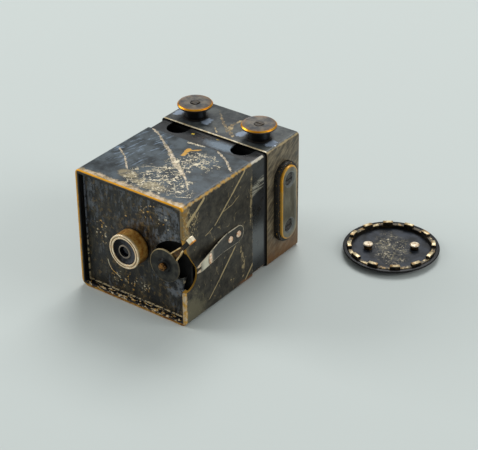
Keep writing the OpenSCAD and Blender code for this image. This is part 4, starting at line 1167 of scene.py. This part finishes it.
def leaf_off(y):
    """Height of the leaf's inner face over the case's side."""
    t = max((LEAF_Y - y) / (LEAF_Y - LEAF_TIP_Y), 0)
    return LEAF_RISE * (LEAF_KINK * t + (1 - LEAF_KINK) * (1 - math.cos(math.pi * t)) / 2)


def leaf_half(y):
    """Half the leaf's width at y."""
    if y < LEAF_Y:
        slim = LEAF_HALF - LEAF_TAPER * (LEAF_Y - y)
        return slim if y > FORK_Y else slim - 0.13 * (FORK_Y - y)
    past = max(y - (LEAF_END_Y - LEAF_HALF), 0.0)
    return math.sqrt(max(LEAF_HALF ** 2 - past ** 2, 0.0))


def leaf_ring(y, z0, z1):
    """The strip's section at y between two heights, with eased edges."""
    x = HALF_W + leaf_off(y)
    slope = (leaf_off(y - 0.05) - leaf_off(y + 0.05)) / 0.1
    lean = Vector((1, slope, 0)).normalized()
    base = Vector((x, y, 0))
    e = min(0.1, (z1 - z0) / 4)
    section = [(0, z0 + e), (e, z0), (LEAF_T - e, z0), (LEAF_T, z0 + e), (LEAF_T, z1 - e), (LEAF_T - e, z1),
               (e, z1), (0, z1 - e)]
    return [base + lean * d + Vector((0, 0, z)) for d, z in section]


def make_leaf():
    stations = [LEAF_END_Y - 0.01 - 0.06 * k ** 2 for k in range(7)]
    stations += [LEAF_END_Y - LEAF_HALF, LEAF_Y + 3.5, LEAF_Y + 1.5, LEAF_Y + 0.2, LEAF_Y]
    count = 22
    stations += [LEAF_Y + (FORK_Y - LEAF_Y) * k / count for k in range(1, count + 1)]
    strip = loft("strip", [leaf_ring(y, LEAF_Z - leaf_half(y), LEAF_Z + leaf_half(y))
                           for y in sorted(set(stations), reverse=True)])
    prongs = []
    slot_half = 0.5
    tip = LEAF_TIP_Y + 0.12
    for sign in (-1, 1):
        rings = []
        for k in range(9):
            y = FORK_Y + 0.02 + (tip - FORK_Y) * k / 8
            pinch = 0.25 * (k / 8) ** 4
            edges = sorted((LEAF_Z + sign * (slot_half + pinch), LEAF_Z + sign * (leaf_half(y) - pinch)))
            rings.append(leaf_ring(y, edges[0], edges[1]))
        prongs.append(loft("prong", rings))
    leaf = join("leaf_strip", [strip] + prongs)
    dress(leaf, LEAF_BLACK, None, ["leaf_foot", "leaf_blade"])
    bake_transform(leaf)


def dome(name, width, height, rise, place):
    """A low boss with round ends and a domed top, drawn in the place's X and Y."""
    rings = []
    for k in range(7):
        angle = math.pi / 2 * k / 6
        inset = (1 - math.cos(angle)) * width / 2 * 0.7
        rings.append([place @ Vector((p.x, p.y, rise * math.sin(angle)))
                      for p in obround(width, height, inset, 10)])
    return loft(name, rings)


def make_leaf_trim():
    y = BUTTON_Y
    slope = (leaf_off(y - 0.05) - leaf_off(y + 0.05)) / 0.1
    out = Vector((1, slope, 0)).normalized()
    up = Vector(UP)
    centre = Vector((HALF_W + leaf_off(y), y, LEAF_Z)) + out * (LEAF_T - 0.03)
    place = Matrix.Translation(centre) @ Matrix((up.cross(out), up, out)).transposed().to_4x4()
    button = dome("leaf_boss", 1.8, 3.6, 0.36, place)
    dress(button, COPPER, "leaf", ["leaf_button"])
    heads = []
    for y in LEAF_RIVETS_Y:
        base = HALF_W + LEAF_T - 0.02
        head = [(0, -1.5), (0.6, -1.5), (0.6, 0), (1.1, 0), (1.07, 0.14), (0.92, 0.28), (0.6, 0.35),
                (0, 0.37)]
        heads.append(lathe("head", head, RIGHT, (base, y, LEAF_Z), 32))
    rivets = join("rivet_heads", heads)
    dress(rivets, COPPER, "case", ["leaf_rivets"])


make_leaf()
make_leaf_trim()


# Sleeve and film back

NOTCH_R = 3.7
BUSH_NOTCH_Y = 22.8


def make_sleeve():
    low, high = node_box("inner_sleeve")
    inner = CASE_WALL + SLEEVE_WALL
    section = [(CASE_WALL, low.y), (CASE_WALL, high.y), (inner, high.y), (inner, low.y)]
    tube = box_tube("sleeve_tube", section, CORNER_RADII)
    cutters = []
    for x in (-KNOB_X, KNOB_X):
        angles = [math.pi * (1 + k / 24) for k in range(1, 24)]
        outline = [(x - NOTCH_R, high.y + 1), (x - NOTCH_R, BUSH_NOTCH_Y)]
        outline += [(x + NOTCH_R * math.cos(a), BUSH_NOTCH_Y + NOTCH_R * math.sin(a)) for a in angles]
        outline += [(x + NOTCH_R, BUSH_NOTCH_Y), (x + NOTCH_R, high.y + 1)]
        ends = [[Vector((p[0], p[1], z)) for p in outline] for z in (BODY_H - 1.7, BODY_H + 1)]
        cutters.append(loft("notch", ends))
    cut(tube, cutters)
    dress(tube, SLEEVE_SKIN, "case", ["inner_sleeve"])


def make_back():
    front, rear = back_low.y, back_high.y
    section = rounded([(0, front, 0.12), (0, rear, 0.45), (BACK_WALL, rear, 0.03),
                       (BACK_WALL, front, 0.1)], 4)
    shell = box_tube("back_shell", section, BACK_RADII)
    cut(shell, [rod(2.6, UP, (x, KNOB_Y, BODY_H - 1), 2) for x in (-KNOB_X, KNOB_X)])
    dress(shell, BACK_SKIN, "film_back", ["film_back_shell"])


make_sleeve()
make_back()


# Knobs

def make_knobs():
    for x, node, body, name in ((-KNOB_X, "left_knob", "feed", "knob_left"),
                                (KNOB_X, "right_knob", "takeup", "knob_right")):
        low, high = node_box(node)
        h = high.z - low.z
        profile = rounded([(1.2, 0, 0), (KNOB_STEM_R, 0, 0.1), (KNOB_STEM_R, h - 1.1, 0.2),
                           (5.5, h - 1.1, 0.15), (KNOB_R, h - 0.75, 0.12), (KNOB_R, h - 0.45, 0.15),
                           (5.28, h, 0.14), (4.9, h - 0.07, 0.1), (2.0, h - 0.12, 0),
                           (1.6, h - 0.12, 0.05), (1.55, h - 0.32, 0), (1.2, h - 0.32, 0)], 3)
        knob = lathe(name, profile, UP, (x, KNOB_Y, low.z), 96)
        dress(knob, knob_finish(name + "_skin", x), body, [node])


make_knobs()


# Grips

GRIP_STEP = 1.0
BASE_T = 1.75
PLATE_T = 0.75
SINK_R = 2.5
SCREW_R = 1.95


def make_grips():
    for side, word in ((1, "right"), (-1, "left")):
        x = side * HALF_W
        direction = RIGHT if side > 0 else LEFT
        place = Matrix.Translation((x, GRIP_Y, LENS_Z)) @ Matrix(
            ((0, side, 0), (0, 0, 1), (side, 0, 0))).transposed().to_4x4()
        rings = []
        for inset, rise in ((0.0, 0.0), (0.0, BASE_T - 0.2), (0.2, BASE_T)):
            outline = obround(GRIP_W + 2 * GRIP_STEP, GRIP_H + 2 * GRIP_STEP, inset, 44)
            ring = []
            for i, p in enumerate(outline):
                bite = 0.15 if i % 2 and rise < BASE_T else 0.0
                middle = Vector((0, max(min(p.y, GRIP_STRAIGHT), -GRIP_STRAIGHT)))
                q = p - (p - middle).normalized() * bite
                ring.append(place @ Vector((q.x, q.y, rise)))
            rings.append(ring)
        base = loft("grip_base_" + word, rings)
        cut(base, [rod(1.15, direction, (x - side, GRIP_Y, LENS_Z + s * GRIP_SCREW_Z), 4) for s in (-1, 1)])
        dress(base, GRIP_BLACK, "film_back", [word + "_grip_base"])
        rings = []
        thick = BASE_T + PLATE_T
        for inset, rise in ((0.0, BASE_T), (0.0, thick - 0.24), (0.09, thick - 0.08), (0.28, thick)):
            rings.append([place @ Vector((p.x, p.y, rise)) for p in obround(GRIP_W, GRIP_H, inset, 40)])
        plate = loft("grip_plate_" + word, rings)
        slope = (SINK_R - SCREW_R) / PLATE_T
        sinks = []
        for s in (-1, 1):
            cone = [(0, BASE_T - 0.5), (SCREW_R - 0.5 * slope, BASE_T - 0.5),
                    (SINK_R + 0.5 * slope, thick + 0.5), (0, thick + 0.5)]
            sinks.append(lathe("sink", cone, direction, (x, GRIP_Y, LENS_Z + s * GRIP_SCREW_Z), 48))
        cut(plate, sinks)
        dress(plate, GRIP_BRONZE, "film_back", [word + "_grip_plate"])


make_grips()


# Cap

COLLAR_R = 14.2
COLLAR_IN = 12.9
FLOOR_Z = 1.1
VALLEY_Z = 2.3
TOOTH_Z = 3.2
TEETH = 12
TOOTH_PHASE = -53.3
TOOTH_HALF = 6.65
# One tooth and the valley after it: (angle, height of the collar's top)
TOOTH = ((-TOOTH_HALF - 0.5, VALLEY_Z), (-TOOTH_HALF, TOOTH_Z - 0.08), (-TOOTH_HALF + 0.5, TOOTH_Z),
         (0, TOOTH_Z), (TOOTH_HALF - 0.5, TOOTH_Z), (TOOTH_HALF, TOOTH_Z - 0.08),
         (TOOTH_HALF + 0.5, VALLEY_Z), (15, VALLEY_Z))
STUD_OUT = 7.45


def make_cap():
    disc = rounded([(0, 0, 0), (12.5, 0, 0.5), (15.3, 1.45, 0.2), (15.7, 1.85, 0.22), (15.3, 2.1, 0.2),
                    (COLLAR_R + 0.25, 2.15, 0.1), (COLLAR_R, 2.0, 0), (COLLAR_R, FLOOR_Z, 0),
                    (0, FLOOR_Z, 0)], 4)
    dress(lathe("cap_plate", disc, UP, CAP, 160), CAP_SLATE, "cap", ["cap_disc"])
    rings = []
    for k in range(TEETH):
        start = TOOTH_PHASE + 360 / TEETH * k
        for angle, top in TOOTH:
            a = math.radians(start + angle)
            out = Vector((math.cos(a), math.sin(a), 0))
            ring = [(COLLAR_IN, FLOOR_Z), (COLLAR_R, FLOOR_Z), (COLLAR_R, top - 0.12),
                    (COLLAR_R - 0.12, top), (COLLAR_IN + 0.12, top), (COLLAR_IN, top - 0.12)]
            rings.append([CAP + out * r + Vector((0, 0, z)) for r, z in ring])
    collar = loft("cap_collar_ring", rings, loop=True)
    dress(collar, COLLAR_BRASS, "cap", ["cap_collar"])
    studs = []
    tall = node_box("cap_studs")[1].z - FLOOR_Z
    for s in (-1, 1):
        a = math.radians(STUD_AXIS)
        centre = CAP + Vector((s * STUD_OUT * math.cos(a), s * STUD_OUT * math.sin(a), FLOOR_Z))
        profile = rounded([(0, 0, 0), (1.35, 0, 0), (1.35, tall - 0.65, 0.1), (1.55, tall - 0.55, 0.1),
                           (1.6, tall - 0.2, 0.12), (1.3, tall, 0.12), (0, tall, 0)], 3)
        studs.append(lathe("stud", profile, UP, centre, 48))
    dress(join("cap_stud_pair", studs), CAP_STUD_BRASS, "cap", ["cap_studs"])


make_cap()


# Solids that keep their own shape

KEPT = {
    BRASS_PLAIN: ["front_lens_ring", "rear_lens_cell", "rear_lens_ring", "spindle_nut", "window_ring",
                  "spindle_bushes"],
    INSIDE_BLACK: ["lens_board", "shutter_blade", "spool_frame"],
    SPRING_STEEL: ["shutter_spring", "roller_pins", "left_guide_roller", "right_guide_roller"],
    BACK_SKIN: ["film_back_rear"],
    SPINDLE_DARK: ["feed_spindle", "takeup_spindle"],
    WASHER_DARK: ["knob_washers"],
    SCREW_DARK: ["grip_screws"],
    SPOOL_WOOD: ["feed_spool", "takeup_spool"],
    FILM_BASE: ["feed_film_roll", "takeup_film_roll", "film_strip"],
    LENS_GLASS: ["front_lens", "rear_lens"],
}
for material, nodes in KEPT.items():
    for node in nodes:
        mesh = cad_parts[node].data
        mesh.materials.clear()
        mesh.materials.append(material)


# Floor and light

FLOOR_HALF = 3000
WORLD_STRENGTH = 0.42


def make_stage():
    paint = Finish("floor_paint", color=srgb(198, 205, 202), roughness=0.7, specular=0.2)
    corners = [(x * FLOOR_HALF, y * FLOOR_HALF, 0) for x, y in ((-1, -1), (1, -1), (1, 1), (-1, 1))]
    floor = add_mesh("floor", corners, [(0, 1, 2, 3)])
    floor.data.materials.append(paint.material)
    world = bpy.data.worlds.new("studio")
    bpy.context.scene.world = world
    world.use_nodes = True
    background = world.node_tree.nodes["Background"]
    background.inputs["Color"].default_value = srgb(226, 231, 232)
    background.inputs["Strength"].default_value = WORLD_STRENGTH


def soft_light(name, place, target, size, power):
    light = add_object(name, bpy.data.lights.new(name, "AREA"))
    light.data.shape = "RECTANGLE"
    light.data.size = size[0] * MM
    light.data.size_y = size[1] * MM
    light.data.energy = power
    place = Vector(place)
    light.matrix_world = facing(place - Vector(target), place).normalized()
    light.location = place * MM


make_stage()
soft_light("key_box", (-360, 990, 1380), (5, 0, 0), (900, 900), 16.5)
soft_light("left_box", (-1050, -400, 575), (0, 0, 20), (650, 650), 7.6)
soft_light("right_box", (900, 300, 550), (0, 0, 20), (550, 550), 3.4)
bpy.context.scene.view_settings.view_transform = "Standard"
